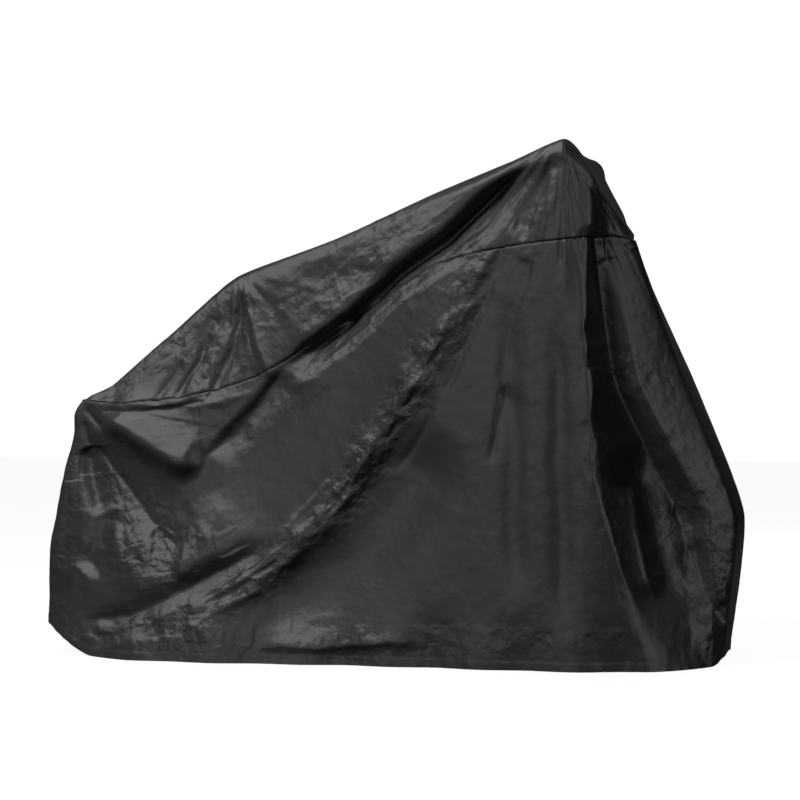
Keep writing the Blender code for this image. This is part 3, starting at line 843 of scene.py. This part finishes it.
class CoverForm:
    """The whole cover's surface: the smooth drape of the tables with every fold and crease on it."""

    side_rows = 205
    far_rows = 151
    cap_rows = 151
    seam_rows = (0.0, 0.0016, 0.0045, 0.009, 0.016)
    hem_rows = (0.0, 0.004, 0.010, 0.017, 0.0205, 0.0235, 0.029)

    def __init__(self, hem: Hem, seam: Seam) -> None:
        """Works out the three panels.

        Args:
            hem: the sizes of the hem.
            seam: the sizes of the seams.
        """
        self.hem = hem
        self.seam = seam
        starts = np.cumsum([station.gaps for station in STATIONS.values()])
        self.columns = starts[-1] * FINE + 1
        fine = np.arange(self.columns) / FINE
        self.places = np.interp(fine, starts, np.arange(len(starts)))
        self.from_end = np.minimum(fine, fine[::-1])
        self.middle = slice(END_COLUMNS * FINE, -END_COLUMNS * FINE)
        near = self.side_points(Side.NEAR, self.side_rows)
        far = self.side_points(Side.FAR, self.far_rows)
        for end in (0, -1):
            near[end] = self.resample(far[end], self.side_rows)
        self.straighten(near[:, -1])
        self.straighten(far[:, -1])
        cap = self.cap_points(near, far)
        self.near, self.far, self.cap = self.crumpled(near, far, cap)

    def along_stations(self, table: list) -> Array:
        """The table's rows, one for each station, read at each column by a smooth curve.

        Args:
            table: numbers of any shape for each station.

        Returns:
            The same for each column.
        """
        values = np.asarray(table, float)
        flat = values.reshape(len(values), 1, -1)
        read = hermite(np.arange(len(values), dtype=float), flat, self.places[:, None])
        return read.reshape(self.columns, *values.shape[1:])

    def side_points(self, side: Side, rows: int) -> Array:
        """A side panel's points with its main folds: columns from rear to front, rows from the hem up.

        A station's out counts towards its own side, but the two end seams' out always counts to the
        near side.

        Args:
            side: which side.
            rows: how many rows of points.

        Returns:
            The points, (columns, rows, 3).
        """
        stations = STATIONS if side is Side.NEAR else FAR_STATIONS
        levels = []
        for s in stations.values():
            rise = (s.seam[2] - s.hem[2]) / 3
            low, high = (*s.low, s.hem[2] + rise), (*s.high, s.hem[2] + 2 * rise)
            levels.append((s.hem, low, high, s.seam))
        table = np.array(levels)
        if side is Side.FAR:
            table[1:-1, :, 1] *= -1
        table[..., 1] *= -1
        lines = self.along_stations(table).transpose(1, 0, 2)
        length = np.linalg.norm(np.diff(lines, axis=0), axis=-1).sum(axis=0)
        at = self.row_places(length, rows, self.hem_rows, self.seam_rows)
        points = hermite(np.linspace(0, 1, 4), lines, at).transpose(1, 0, 2)
        return points + self.fold_move(points, side, slice(None)) + self.rack_end(points)

    @staticmethod
    def rack_end(points: Array) -> Array:
        """How far the rack's rear end pushes the cloth back, as vectors along X.

        Args:
            points: the points, with (x, y, z) last.

        Returns:
            The move of each point.
        """
        rise = np.exp(-(((points[..., 2] - RACK_END_Z) / RACK_END_REACH) ** 2))
        behind = smoothstep((RACK_END_X - points[..., 0]) / RACK_END_REACH)
        return (-RACK_END_PUSH * rise * behind)[..., None] * (1, 0, 0)

    def fold_move(self, points: Array, side: Side, columns: slice) -> Array:
        """How far the main folds and the hem's waves move these columns' points, as vectors along Y.

        Args:
            points: the points, with (x, y, z) last.
            side: which side's folds.
            columns: which of the cover's columns they are.

        Returns:
            The move of each point.
        """
        inside = smoothstep(self.from_end[columns] / (END_COLUMNS + 2))
        inside = inside.reshape(-1, *(1,) * (points.ndim - 2))
        near_ground = smoothstep(1 - points[..., 2] / HEM_WAVE_REACH)
        waves = HEM_WAVE_HEIGHT * np.sin(2 * np.pi * points[..., 0] / HEM_WAVE_LENGTH) * near_ground
        folds = NEAR_FOLDS if side is Side.NEAR else FAR_FOLDS
        height = crease_height(points, folds) + waves
        return (height * inside)[..., None] * (0, side.value, 0)

    @staticmethod
    def row_places(length: Array, rows: int, first: tuple, last: tuple) -> Array:
        """Places from 0 to 1 down each column, close together at both ends at the distances given.

        Args:
            length: each column's length in metres.
            rows: how many rows.
            first: the first rows' distances from the start in metres.
            last: the last rows' distances from the end in metres.

        Returns:
            The places, (rows, columns).
        """
        low = np.array(first)[:, None] / length
        high = 1 - np.array(last[::-1])[:, None] / length
        count = rows - len(first) - len(last)
        step = np.linspace(0, 1, count + 2)[1:-1, None]
        return np.concatenate([low, low[-1] * (1 - step) + high[0] * step, high])

    @staticmethod
    def resample(line: Array, rows: int) -> Array:
        """The line's points read at another number of rows, evenly by its own rows."""
        at = np.linspace(0, len(line) - 1, rows)
        return np.stack([np.interp(at, np.arange(len(line)), line[:, k]) for k in range(3)], axis=-1)

    def straighten(self, edge: Array) -> None:
        """Makes the top edge straight over the end columns, as the cap's two short edges are.

        Args:
            edge: the top edge's points, changed in place.
        """
        span = END_COLUMNS * FINE
        ramp = np.linspace(0, 1, span + 1)[:, None]
        edge[: span + 1] = edge[0] * (1 - ramp) + edge[span] * ramp
        edge[-span - 1 :] = edge[-span - 1] * (1 - ramp) + edge[-1] * ramp

    def cap_half(self, side: Side, seam: Array) -> Array:
        """Half of the top panel at its levels: up the flap to the shoulder, then over to the middle.

        Args:
            side: which half.
            seam: the side panel's top edge, where the half starts.

        Returns:
            The points, (columns, levels, 3).
        """
        stations = STATIONS if side is Side.NEAR else FAR_STATIONS
        rows = [(s.shoulder, (s.ridge[0], 0.0, s.ridge[1])) for s in stations.values()]
        lines = self.along_stations(rows)[self.middle]
        shoulder, ridge = lines[:, 0] * (1, side.value, 1), lines[:, 1]
        seam = seam - self.fold_move(seam, side, self.middle)
        up = np.linspace(0, 1, FLAP_LEVELS + 1)[None, :, None]
        flap = seam[:, None] * (1 - up) + shoulder[:, None] * up
        over = np.linspace(0, 1, CROWN_LEVELS + 1)[None, 1:, None]
        crown = shoulder[:, None] * (1 - over) + ridge[:, None] * over
        return np.concatenate([flap, crown], axis=1)

    def cap_points(self, near: Array, far: Array) -> Array:
        """The top panel's points: columns along it, rows from the near seam over to the far seam.

        Args:
            near: the near panel's points.
            far: the far panel's points.

        Returns:
            The points, (columns, rows, 3).
        """
        near_half = self.cap_half(Side.NEAR, near[self.middle, -1])
        far_half = self.cap_half(Side.FAR, far[self.middle, -1])
        levels = np.concatenate([near_half, far_half[:, -2::-1]], axis=1)
        levels[:, 1:-1] = (levels[:, :-2] + 2 * levels[:, 1:-1] + levels[:, 2:]) / 4
        lines = levels.transpose(1, 0, 2)
        length = np.linalg.norm(np.diff(lines, axis=0), axis=-1).sum(axis=0)
        at = self.row_places(length, self.cap_rows, self.seam_rows, self.seam_rows)
        level = at.T * 2 * (FLAP_LEVELS + CROWN_LEVELS)
        self.cap_hanging = smoothstep((FLAP_LEVELS - np.minimum(level, level[:, ::-1])) / 1.3)
        cap = hermite(np.linspace(0, 1, len(lines)), lines, at, 0.25).transpose(1, 0, 2)
        half = self.cap_rows // 2
        for side, rows in ((Side.NEAR, np.s_[:, :half]), (Side.FAR, np.s_[:, half:])):
            move = self.fold_move(cap[rows], side, self.middle)
            cap[rows] += move * self.cap_hanging[rows][..., None]
        for end, step in ((0, 1), (-1, -1)):
            edge = self.short_edge(near[:, -1], far[:, -1], end)
            ramp = np.linspace(0, 1, FINE + 1)[:, None, None]
            inner = cap[end + step * FINE]
            cap[end : end + step * (FINE + 1) or None : step] = edge * (1 - ramp) + inner * ramp
        return cap

    def short_edge(self, near_edge: Array, far_edge: Array, end: int) -> Array:
        """The cap's short edge at one end: near corner, straight to the seam, far corner.

        Args:
            near_edge: the near panel's top edge.
            far_edge: the far panel's top edge.
            end: 0 for the rear end, -1 for the front.

        Returns:
            The edge's points, one for each of the cap's rows.
        """
        corner = END_COLUMNS * FINE if end == 0 else -1 - END_COLUMNS * FINE
        half = self.cap_rows // 2
        step = np.linspace(0, 1, half + 1)[:, None]
        near = near_edge[corner] * (1 - step) + near_edge[end] * step
        far = far_edge[end] * (1 - step) + far_edge[corner] * step
        return np.concatenate([near, far[1:]])

    def crumpled(self, near: Array, far: Array, cap: Array) -> tuple[Panel, Panel, Panel]:
        """Puts the fine creases, fans, crumples, seams and hem on the three smooth panels.

        Args:
            near: the near panel's points.
            far: the far panel's points.
            cap: the top panel's points.

        Returns:
            The near, far and top panel in the part's frame.
        """
        near_out, far_out = grid_normals(near, 1), grid_normals(far, -1)
        cap_out = grid_normals(cap, 1)
        for side_out, edge in ((near_out, 0), (far_out, -1)):
            shared = unit(side_out[self.middle, -1] + cap_out[:, edge])
            side_out[self.middle, -1] = cap_out[:, edge] = shared
        sides = []
        for side, points, outward in ((Side.NEAR, near, near_out), (Side.FAR, far, far_out)):
            rows = points.shape[1]
            calm = smoothstep(self.from_end / (END_COLUMNS + 2))[:, None] * np.ones(rows)
            up = lengths_along(points, 1)
            from_rear = np.linalg.norm(points - points[:1], axis=-1)
            from_front = np.linalg.norm(points - points[-1:], axis=-1)
            ends = np.minimum(from_rear, from_front)
            panel = Panel(points, outward, calm, np.ones((self.columns, rows)),
                          np.minimum(up[:, -1:] - up, ends), up)
            self.displace(panel, side)
            sides.append(panel)
        near_panel, far_panel = sides
        up = lengths_along(cap, 1)
        calm = smoothstep((self.from_end[self.middle] - END_COLUMNS) / END_COLUMNS)[:, None]
        to_seam = np.minimum(up, up[:, -1:] - up)
        cap_panel = Panel(cap, cap_out, calm * np.ones(self.cap_rows), self.cap_hanging, to_seam,
                          np.ones(up.shape))
        self.displace(cap_panel, None)
        for panel, edge in ((near_panel, 0), (far_panel, -1)):
            shared = (panel.points[self.middle, -1] + cap_panel.points[:, edge]) / 2
            panel.points[self.middle, -1] = cap_panel.points[:, edge] = shared
        for panel in (near_panel, far_panel, cap_panel):
            panel.points += TABLE_TO_FRAME
        return near_panel, far_panel, cap_panel

    def displace(self, panel: Panel, side: Side | None) -> None:
        """Moves a panel's points along its normals by every fine form, and lets the cloth settle.

        Args:
            panel: the panel, changed in place.
            side: which side it is, or None for the top panel.
        """
        points = panel.points
        on_near = smoothstep(0.5 - points[..., 1] / 0.10) if side is None else float(side is Side.NEAR)
        creases = crease_height(points, NEAR_CREASES, CREASE_WOBBLE) * on_near
        creases += crease_height(points, FAR_CREASES, CREASE_WOBBLE) * (1 - on_near)
        creases += band_height(points, NEAR_BANDS) * on_near
        amount = crumple_amount(points)
        panel.amount = amount
        fans = sum(fan_height(points, fan) for fan in FANS.values()) * (0.6 + 0.5 * amount)
        lift = (creases + fans) * panel.hanging
        lift += crumple_height(points, amount) * (0.4 + 0.6 * panel.hanging)
        seam, hem = self.seam, self.hem
        foot = smoothstep(panel.to_hem / hem.calm_reach)
        lift *= 0.35 + 0.65 * foot
        pucker = noise(points, seam.pucker_size, 81) + 0.5 * noise(points, seam.pucker_size / 2, 82)
        lift += seam.pucker_height * pucker * np.exp(-panel.to_seam / seam.pucker_reach)
        lift *= panel.calm
        crumpled = points + panel.outward * lift[..., None]
        crumpled = settled(points, crumpled, SETTLING_STEPS)
        detail = -seam.depth * np.exp(-((panel.to_seam / seam.width) ** 2))
        in_hem = smoothstep((hem.width - panel.to_hem) / hem.swell_rise + 0.5)
        detail += hem.swell * in_hem
        detail -= hem.groove * np.exp(-(((panel.to_hem - hem.width) / hem.groove_width) ** 2))
        gather = noise(points * (1, 1, 0.25), hem.gather_size, 83)
        detail += hem.gather_height * gather * np.exp(-panel.to_hem / hem.gather_reach) * panel.calm
        panel.points = crumpled + panel.outward * detail[..., None]


# ---------------------------------------------------------------------------------------------------
# Finishes


class NodeGroup:
    """A shader node group in the making, with named inputs and outputs."""

    def __init__(
        self, name: str, inputs: dict[str, tuple[str, object]], outputs: dict[str, str]
    ) -> None:
        """Starts the group.

        Args:
            name: the group's name.
            inputs: socket type and default value by name.
            outputs: socket type by name.
        """
        self.tree = bpy.data.node_groups.new(name, "ShaderNodeTree")
        for title, (kind, value) in inputs.items():
            socket = self.tree.interface.new_socket(title, in_out="INPUT", socket_type=kind)
            if value is not None:
                socket.default_value = value
        for title, kind in outputs.items():
            self.tree.interface.new_socket(title, in_out="OUTPUT", socket_type=kind)
        self.start = self.tree.nodes.new("NodeGroupInput")
        self.end = self.tree.nodes.new("NodeGroupOutput")

    def node(self, kind: str, links: dict | None = None, **settings: object) -> bpy.types.Node:
        """Adds a node, sets its properties and links or sets its inputs."""
        return add_node(self.tree, kind, links, **settings)

    def math(self, operation: str, *values: object) -> bpy.types.NodeSocket:
        """Adds a Math node and returns its result."""
        return self.node("ShaderNodeMath", dict(enumerate(values)), operation=operation).outputs[0]

    def vector(self, operation: str, *values: object) -> bpy.types.Node:
        """Adds a Vector Math node."""
        return self.node("ShaderNodeVectorMath", dict(enumerate(values)), operation=operation)

    def give(self, **outputs: bpy.types.NodeSocket) -> bpy.types.NodeTree:
        """Links the group's outputs and returns the group.

        Args:
            outputs: the socket that feeds each output.

        Returns:
            The finished group.
        """
        for title, socket in outputs.items():
            self.tree.links.new(socket, self.end.inputs[title])
        return self.tree


def add_node(
    tree: bpy.types.NodeTree, kind: str, links: dict | None = None, **settings: object
) -> bpy.types.Node:
    """Adds a node to a tree.

    Args:
        tree: the node tree.
        kind: the node's type.
        links: for each input's name or number, a socket to link or a value to set.
        settings: the node's own properties.

    Returns:
        The new node.
    """
    node = tree.nodes.new(kind)
    for title, value in settings.items():
        setattr(node, title, value)
    for title, value in (links or {}).items():
        if isinstance(value, bpy.types.NodeSocket):
            tree.links.new(value, node.inputs[title])
        else:
            node.inputs[title].default_value = value
    return node


def crumple_group() -> bpy.types.NodeTree:
    """Small crumples: flat facets, as the difference of two bent fields of distance to random points.

    A distance summed along three axes grows evenly in straight lines, so its field is flat between
    sharp ridges and valleys.

    Returns:
        The group.
    """
    group = NodeGroup(
        "small_crumples",
        {"Vector": ("NodeSocketVector", None), "Size": ("NodeSocketFloat", 0.02),
         "Height": ("NodeSocketFloat", 0.001)},
        {"Height": "NodeSocketFloat"},
    )
    start = group.start.outputs
    scaled = group.vector("DIVIDE", start["Vector"], start["Size"]).outputs[0]
    warp = group.node("ShaderNodeTexNoise", {"Vector": scaled, "Scale": 0.6, "Detail": 1.0})
    fields = []
    for turn in ((0.5, 0.9, 0.3), (1.3, 0.2, 2.1)):
        bent = group.vector("MULTIPLY_ADD", warp.outputs["Color"], (1.3, 1.3, 1.3), scaled).outputs[0]
        turned = group.node("ShaderNodeMapping", {"Vector": bent, "Rotation": turn, "Location": turn})
        cell = group.node("ShaderNodeTexVoronoi", {"Vector": turned.outputs[0], "Scale": 0.8},
                          feature="F1", distance="MANHATTAN")
        fields.append(cell.outputs["Distance"])
    facet = group.math("SUBTRACT", *fields)
    return group.give(Height=group.math("MULTIPLY", facet, start["Height"]))


def weave_group() -> bpy.types.NodeTree:
    """Plain weave in a UV map in metres: threads cross as the product of two sine waves.

    Returns:
        The group.
    """
    group = NodeGroup(
        "plain_weave",
        {"Vector": ("NodeSocketVector", None), "Pitch": ("NodeSocketFloat", 0.0006),
         "Height": ("NodeSocketFloat", 0.000005)},
        {"Height": "NodeSocketFloat"},
    )
    start = group.start.outputs
    turns = group.math("DIVIDE", 2 * np.pi, start["Pitch"])
    phase = group.vector("SCALE", start["Vector"])
    group.tree.links.new(turns, phase.inputs["Scale"])
    parts = group.node("ShaderNodeSeparateXYZ", {0: phase.outputs[0]})
    warp, weft = group.math("SINE", parts.outputs[0]), group.math("SINE", parts.outputs[1])
    wave = group.math("MULTIPLY", warp, weft)
    return group.give(Height=group.math("MULTIPLY", wave, start["Height"]))


def wear_group() -> bpy.types.NodeTree:
    """Handling marks: soft patches where the coating is duller and a little greyer.

    Returns:
        The group.
    """
    group = NodeGroup(
        "handling_marks",
        {"Vector": ("NodeSocketVector", None), "Size": ("NodeSocketFloat", 0.2)},
        {"Mask": "NodeSocketFloat"},
    )
    start = group.start.outputs
    scaled = group.vector("DIVIDE", start["Vector"], start["Size"]).outputs[0]
    cloud = group.node("ShaderNodeTexNoise", {"Vector": scaled, "Scale": 1.0, "Detail": 6.0,
                                              "Roughness": 0.62})
    mask = group.node("ShaderNodeMapRange", {"Value": cloud.outputs[0], "From Min": 0.38,
                                             "From Max": 0.70})
    return group.give(Mask=mask.outputs[0])


def stitch_group() -> bpy.types.NodeTree:
    """A row of stitches: a mask where the cloth's edge is one distance away and the thread shows.

    Returns:
        The group.
    """
    group = NodeGroup(
        "stitch_row",
        {"Edge": ("NodeSocketFloat", 0.0), "Along": ("NodeSocketFloat", 0.0),
         "Distance": ("NodeSocketFloat", 0.003), "Pitch": ("NodeSocketFloat", 0.0035),
         "Thread": ("NodeSocketFloat", 0.0005), "Stitch": ("NodeSocketFloat", 0.68)},
        {"Mask": "NodeSocketFloat"},
    )
    start = group.start.outputs
    off = group.math("ABSOLUTE", group.math("SUBTRACT", start["Edge"], start["Distance"]))
    row = group.math("LESS_THAN", off, start["Thread"])
    place = group.math("FRACT", group.math("DIVIDE", start["Along"], start["Pitch"]))
    dash = group.math("LESS_THAN", place, start["Stitch"])
    return group.give(Mask=group.math("MULTIPLY", row, dash))


@dataclass(frozen=True)
class CoatedCloth:
    """Thin black cloth with a coating: nearly black, half glossy, finely crumpled all over.

    gloss and dull are the roughness of clean and of handled cloth, crumples the (size, height) of the
    small ones, least_crumple their share where the cloth is calmest, and seed_shift moves the patterns.
    """

    name: str
    colour: tuple[float, float, float] = (0.0300, 0.0276, 0.0308)
    dusty: tuple[float, float, float] = (0.0350, 0.0322, 0.0358)
    gloss: float = 0.30
    dull: float = 0.37
    specular: float = 0.55
    mark_size: float = 0.17
    crumples: tuple[tuple[float, float], ...] = ((0.028, 0.0013), (0.011, 0.0003))
    least_crumple: float = 0.12
    thread_height: float = 0.0004
    seed_shift: float = 0.0

    def material(self, groups: dict[str, bpy.types.NodeTree]) -> bpy.types.Material:
        """Builds the cloth's material from the shared node groups.

        Args:
            groups: the shared node groups by name.

        Returns:
            The material.
        """
        material = bpy.data.materials.new(self.name)
        material.use_nodes = True
        tree = material.node_tree
        shader = tree.nodes["Principled BSDF"]

        def placed(kind: str, links: dict) -> bpy.types.Node:
            """Adds a shared group's node."""
            return add_node(tree, "ShaderNodeGroup", links, node_tree=groups[kind])

        def math(operation: str, *values: object) -> bpy.types.NodeSocket:
            """Adds a Math node and returns its result."""
            node = add_node(tree, "ShaderNodeMath", dict(enumerate(values)), operation=operation)
            return node.outputs[0]

        coordinates = add_node(tree, "ShaderNodeTexCoord")
        moved = add_node(tree, "ShaderNodeMapping", {"Vector": coordinates.outputs["Object"],
                                                     "Location": (self.seed_shift,) * 3})
        place = moved.outputs["Vector"]
        uv = coordinates.outputs["UV"]
        wear = placed("wear", {"Vector": place, "Size": self.mark_size})
        crumple = add_node(tree, "ShaderNodeAttribute", attribute_name="crumple").outputs["Fac"]
        amount = math("ADD", crumple, self.least_crumple)
        heights = []
        for size, rise in self.crumples:
            fine = placed("crumple", {"Vector": place, "Size": size, "Height": rise})
            heights.append(math("MULTIPLY", fine.outputs[0], amount))
        heights.append(placed("weave", {"Vector": uv}).outputs[0])
        edge = add_node(tree, "ShaderNodeAttribute", attribute_name="edge").outputs["Fac"]
        along = add_node(tree, "ShaderNodeSeparateXYZ", {0: uv}).outputs[0]
        stitches = placed("stitch", {"Edge": edge, "Along": along})
        heights.append(math("MULTIPLY", stitches.outputs[0], self.thread_height))
        height = heights[0]
        for other in heights[1:]:
            height = math("ADD", height, other)
        bump = add_node(tree, "ShaderNodeBump", {"Height": height, "Strength": 1.0, "Distance": 1.0})
        tint = add_node(
            tree, "ShaderNodeMix",
            {"Factor": wear.outputs["Mask"], "A": (*self.colour, 1.0), "B": (*self.dusty, 1.0)},
            data_type="RGBA")
        tree.links.new(tint.outputs["Result"], shader.inputs["Base Color"])
        rough = add_node(
            tree, "ShaderNodeMapRange",
            {"Value": wear.outputs["Mask"], "To Min": self.gloss, "To Max": self.dull})
        tree.links.new(rough.outputs[0], shader.inputs["Roughness"])
        tree.links.new(bump.outputs[0], shader.inputs["Normal"])
        shader.inputs["Specular IOR Level"].default_value = self.specular
        return material


# ---------------------------------------------------------------------------------------------------
# Pieces


@dataclass
class ClothPiece:
    """One panel of the cover as an object: its mesh, its finish and its cut size and area.

    node is the CAD node it replaces, flat its cut size, area its cut area (neither is used), and stitch
    the height of the hem's row of thread.
    """

    name: str
    node: str
    panel: Panel
    finish: CoatedCloth
    flat: tuple[float, float]
    area: float
    outward_is_up_columns: bool
    stitch: float

    def mesh(self) -> bpy.types.Mesh:
        """The panel's grid as a mesh with a UV map in metres and its distance to the edge.

        Returns:
            The mesh, with its attributes edge and crumple.
        """
        points = self.panel.points
        columns, rows = points.shape[:2]
        index = np.arange(columns * rows).reshape(columns, rows)
        quads = np.stack([index[:-1, :-1], index[1:, :-1], index[1:, 1:], index[:-1, 1:]], axis=-1)
        faces = quads.reshape(-1, 4)
        if not self.outward_is_up_columns:
            faces = faces[:, ::-1]
        mesh = bpy.data.meshes.new(self.name)
        mesh.from_pydata(points.reshape(-1, 3).tolist(), [], faces.tolist())
        mesh.update()
        mesh.shade_smooth()
        across_cloth = lengths_along(points, 0).mean(axis=1)[:, None] * np.ones(rows)
        uv = np.stack([across_cloth, lengths_along(points, 1)], axis=-1).reshape(-1, 2)
        layer = mesh.uv_layers.new(name="cloth")
        layer.data.foreach_set("uv", uv[faces.reshape(-1)].astype(np.float32).ravel())
        edge = np.minimum(self.panel.to_seam, np.abs(self.panel.to_hem - self.stitch))
        attribute = mesh.attributes.new("edge", "FLOAT", "POINT")
        attribute.data.foreach_set("value", edge.astype(np.float32).ravel())
        attribute = mesh.attributes.new("crumple", "FLOAT", "POINT")
        attribute.data.foreach_set("value", self.panel.amount.astype(np.float32).ravel())
        return mesh

    def build(self, groups: dict[str, bpy.types.NodeTree]) -> bpy.types.Object:
        """Args:
            groups: the shared node groups by name.

        Returns:
            The object.
        """
        piece = bpy.data.objects.new(self.name, self.mesh())
        bpy.context.scene.collection.objects.link(piece)
        piece.data.materials.append(self.finish.material(groups))
        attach(piece, BODY)
        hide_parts(self.node)
        return piece


class BicycleCover:
    """The whole cover: three panels of one cloth."""

    def __init__(self) -> None:
        """Works out the shape of the cover."""
        self.form = CoverForm(Hem(), Seam())

    def pieces(self) -> list[ClothPiece]:
        """The three panels with their finishes and flat sizes.

        Returns:
            The near side, the far side and the top.
        """
        form = self.form
        return [
            ClothPiece("near_side_cloth", "side_panel_near", form.near,
                       CoatedCloth("near_side_black_cloth"), (2.06, 1.06), 1.72, True, form.hem.stitch),
            ClothPiece("far_side_cloth", "side_panel_far", form.far,
                       CoatedCloth("far_side_black_cloth", seed_shift=3.7), (1.98, 1.06), 1.64, False,
                       form.hem.stitch),
            ClothPiece("top_cloth", "top_panel", form.cap,
                       CoatedCloth("top_black_cloth", seed_shift=7.3), (1.72, 1.02), 1.10, True,
                       form.hem.stitch),
        ]

    def build(self) -> None:
        """Builds the panels and reports each."""
        groups = {"crumple": crumple_group(), "weave": weave_group(), "wear": wear_group(),
                  "stitch": stitch_group()}
        for piece in self.pieces():
            built = piece.build(groups)
            LOG.info("%s: %d faces", built.name, len(built.data.polygons))


class Softbox(NamedTuple):
    """A rectangular light: its direction from the cover, its distance, size and brightness.

    A light that is shading lights the cloth and doesn't show in its gloss. One that isn't shows in the
    gloss alone, as a large reflector's dim glow does.
    """

    azimuth: float
    elevation: float
    distance: float
    width: float
    height: float
    brightness: float
    shading: bool


SOFTBOXES: dict[str, Softbox] = {
    "key": Softbox(-27.0, 48.0, 6.0, 0.80, 0.80, 180.0, True),
    "sky": Softbox(-46.0, 58.0, 6.0, 7.2, 6.6, 2.20, False),
    "front": Softbox(-14.0, 0.0, 6.5, 6.4, 4.6, 0.62, False),
    "right": Softbox(58.0, 10.0, 5.5, 4.4, 4.0, 0.90, False),
    "back": Softbox(158.0, 34.0, 6.0, 1.6, 1.6, 34.0, True),
}


@dataclass
class Studio:
    """A pale floor, a white background, soft lights all round and a level camera."""

    azimuth: float = np.radians(12.0)
    distance: float = 5.953
    aside: float = 0.018
    height: float = 0.607
    focal_pixels: float = 2475.0
    image_pixels: float = 800.0
    sensor: float = 36.0
    horizon_shift: float = 2.0
    ambient: float = 0.028
    backdrop: float = 1.05
    middle: Point = (0.0, 0.0, 0.6)
    floor_half: float = 20.0
    floor_glow: float = 0.95
    floor_grey: float = 0.05
    floor_roughness: float = 0.9
    floor_specular: float = 0.1

    def camera(self) -> None:
        """A level camera on the cover's near side, turned a little towards its rear."""
        ahead = Vector((-np.sin(self.azimuth), np.cos(self.azimuth), 0))
        right = Vector((np.cos(self.azimuth), np.sin(self.azimuth), 0))
        data = bpy.data.cameras.new("camera")
        camera = bpy.data.objects.new("camera", data)
        bpy.context.scene.collection.objects.link(camera)
        matrix = Matrix((right, Vector((0, 0, 1)), -ahead)).transposed().to_4x4()
        offset = Vector(TABLE_TO_FRAME.tolist())
        place = -ahead * self.distance + right * self.aside + Vector((0, 0, self.height))
        matrix.translation = place + offset
        camera.matrix_world = matrix
        data.sensor_width = self.sensor
        data.lens = self.focal_pixels / self.image_pixels * self.sensor
        data.shift_y = self.horizon_shift / self.image_pixels
        bpy.context.scene.camera = camera

    def softbox(self, name: str, box: Softbox) -> None:
        """Adds a rectangular light that faces the cover; its power gives the brightness asked for.

        Args:
            name: the light's name.
            box: where it stands, its size and brightness.
        """
        data = bpy.data.lights.new(name, "AREA")
        data.shape = "RECTANGLE"
        data.size, data.size_y = box.width, box.height
        data.energy = box.brightness * np.pi * box.width * box.height
        light = bpy.data.objects.new(name, data)
        turn, rise = np.radians(box.azimuth), np.radians(box.elevation)
        towards = Vector((np.sin(turn) * np.cos(rise), -np.cos(turn) * np.cos(rise), np.sin(rise)))
        light.location = Vector(self.middle) + towards * box.distance
        light.rotation_euler = towards.to_track_quat("Z", "Y").to_euler()
        light.visible_diffuse = box.shading
        light.visible_glossy = not box.shading
        bpy.context.scene.collection.objects.link(light)

    def world(self) -> None:
        """A world that is white to the camera and dim as a light."""
        world = bpy.data.worlds.new("studio")
        bpy.context.scene.world = world
        world.use_nodes = True
        tree = world.node_tree
        tree.nodes.clear()
        white = (1, 1, 1, 1)
        seen = add_node(tree, "ShaderNodeBackground", {"Color": white, "Strength": self.backdrop})
        lit = add_node(tree, "ShaderNodeBackground", {"Color": white, "Strength": self.ambient})
        path = add_node(tree, "ShaderNodeLightPath")
        mix = add_node(
            tree, "ShaderNodeMixShader",
            {0: path.outputs["Is Camera Ray"], 1: lit.outputs[0], 2: seen.outputs[0]})
        add_node(tree, "ShaderNodeOutputWorld", {"Surface": mix.outputs[0]})

    def floor(self) -> None:
        """A wide pale floor at the height of the hem, bright to the camera as an overlit sweep is."""
        half = self.floor_half
        mesh = bpy.data.meshes.new("studio_floor")
        corners = [(-half, -half, 0), (half, -half, 0), (half, half, 0), (-half, half, 0)]
        mesh.from_pydata(corners, [], [(0, 1, 2, 3)])
        floor = bpy.data.objects.new("studio_floor", mesh)
        bpy.context.scene.collection.objects.link(floor)
        material = bpy.data.materials.new("studio_floor_paint")
        material.use_nodes = True
        tree = material.node_tree
        shader = tree.nodes["Principled BSDF"]
        shader.inputs["Base Color"].default_value = (*(self.floor_grey,) * 3, 1)
        shader.inputs["Roughness"].default_value = self.floor_roughness
        shader.inputs["Specular IOR Level"].default_value = self.floor_specular
        shader.inputs["Emission Color"].default_value = (1, 1, 1, 1)
        path = add_node(tree, "ShaderNodeLightPath")
        glow = add_node(tree, "ShaderNodeMath", {0: path.outputs["Is Camera Ray"], 1: self.floor_glow},
                        operation="MULTIPLY")
        tree.links.new(glow.outputs[0], shader.inputs["Emission Strength"])
        mesh.materials.append(material)

    def build(self) -> None:
        """Sets up the studio."""
        self.camera()
        for name, box in SOFTBOXES.items():
            self.softbox(name, box)
        self.world()
        self.floor()
        bpy.context.scene.view_settings.view_transform = "Standard"


def main() -> None:
    logging.basicConfig(level=logging.INFO, format="%(name)s %(message)s")
    BicycleCover().build()
    Studio().build()


if __name__ == "__main__":
    main()
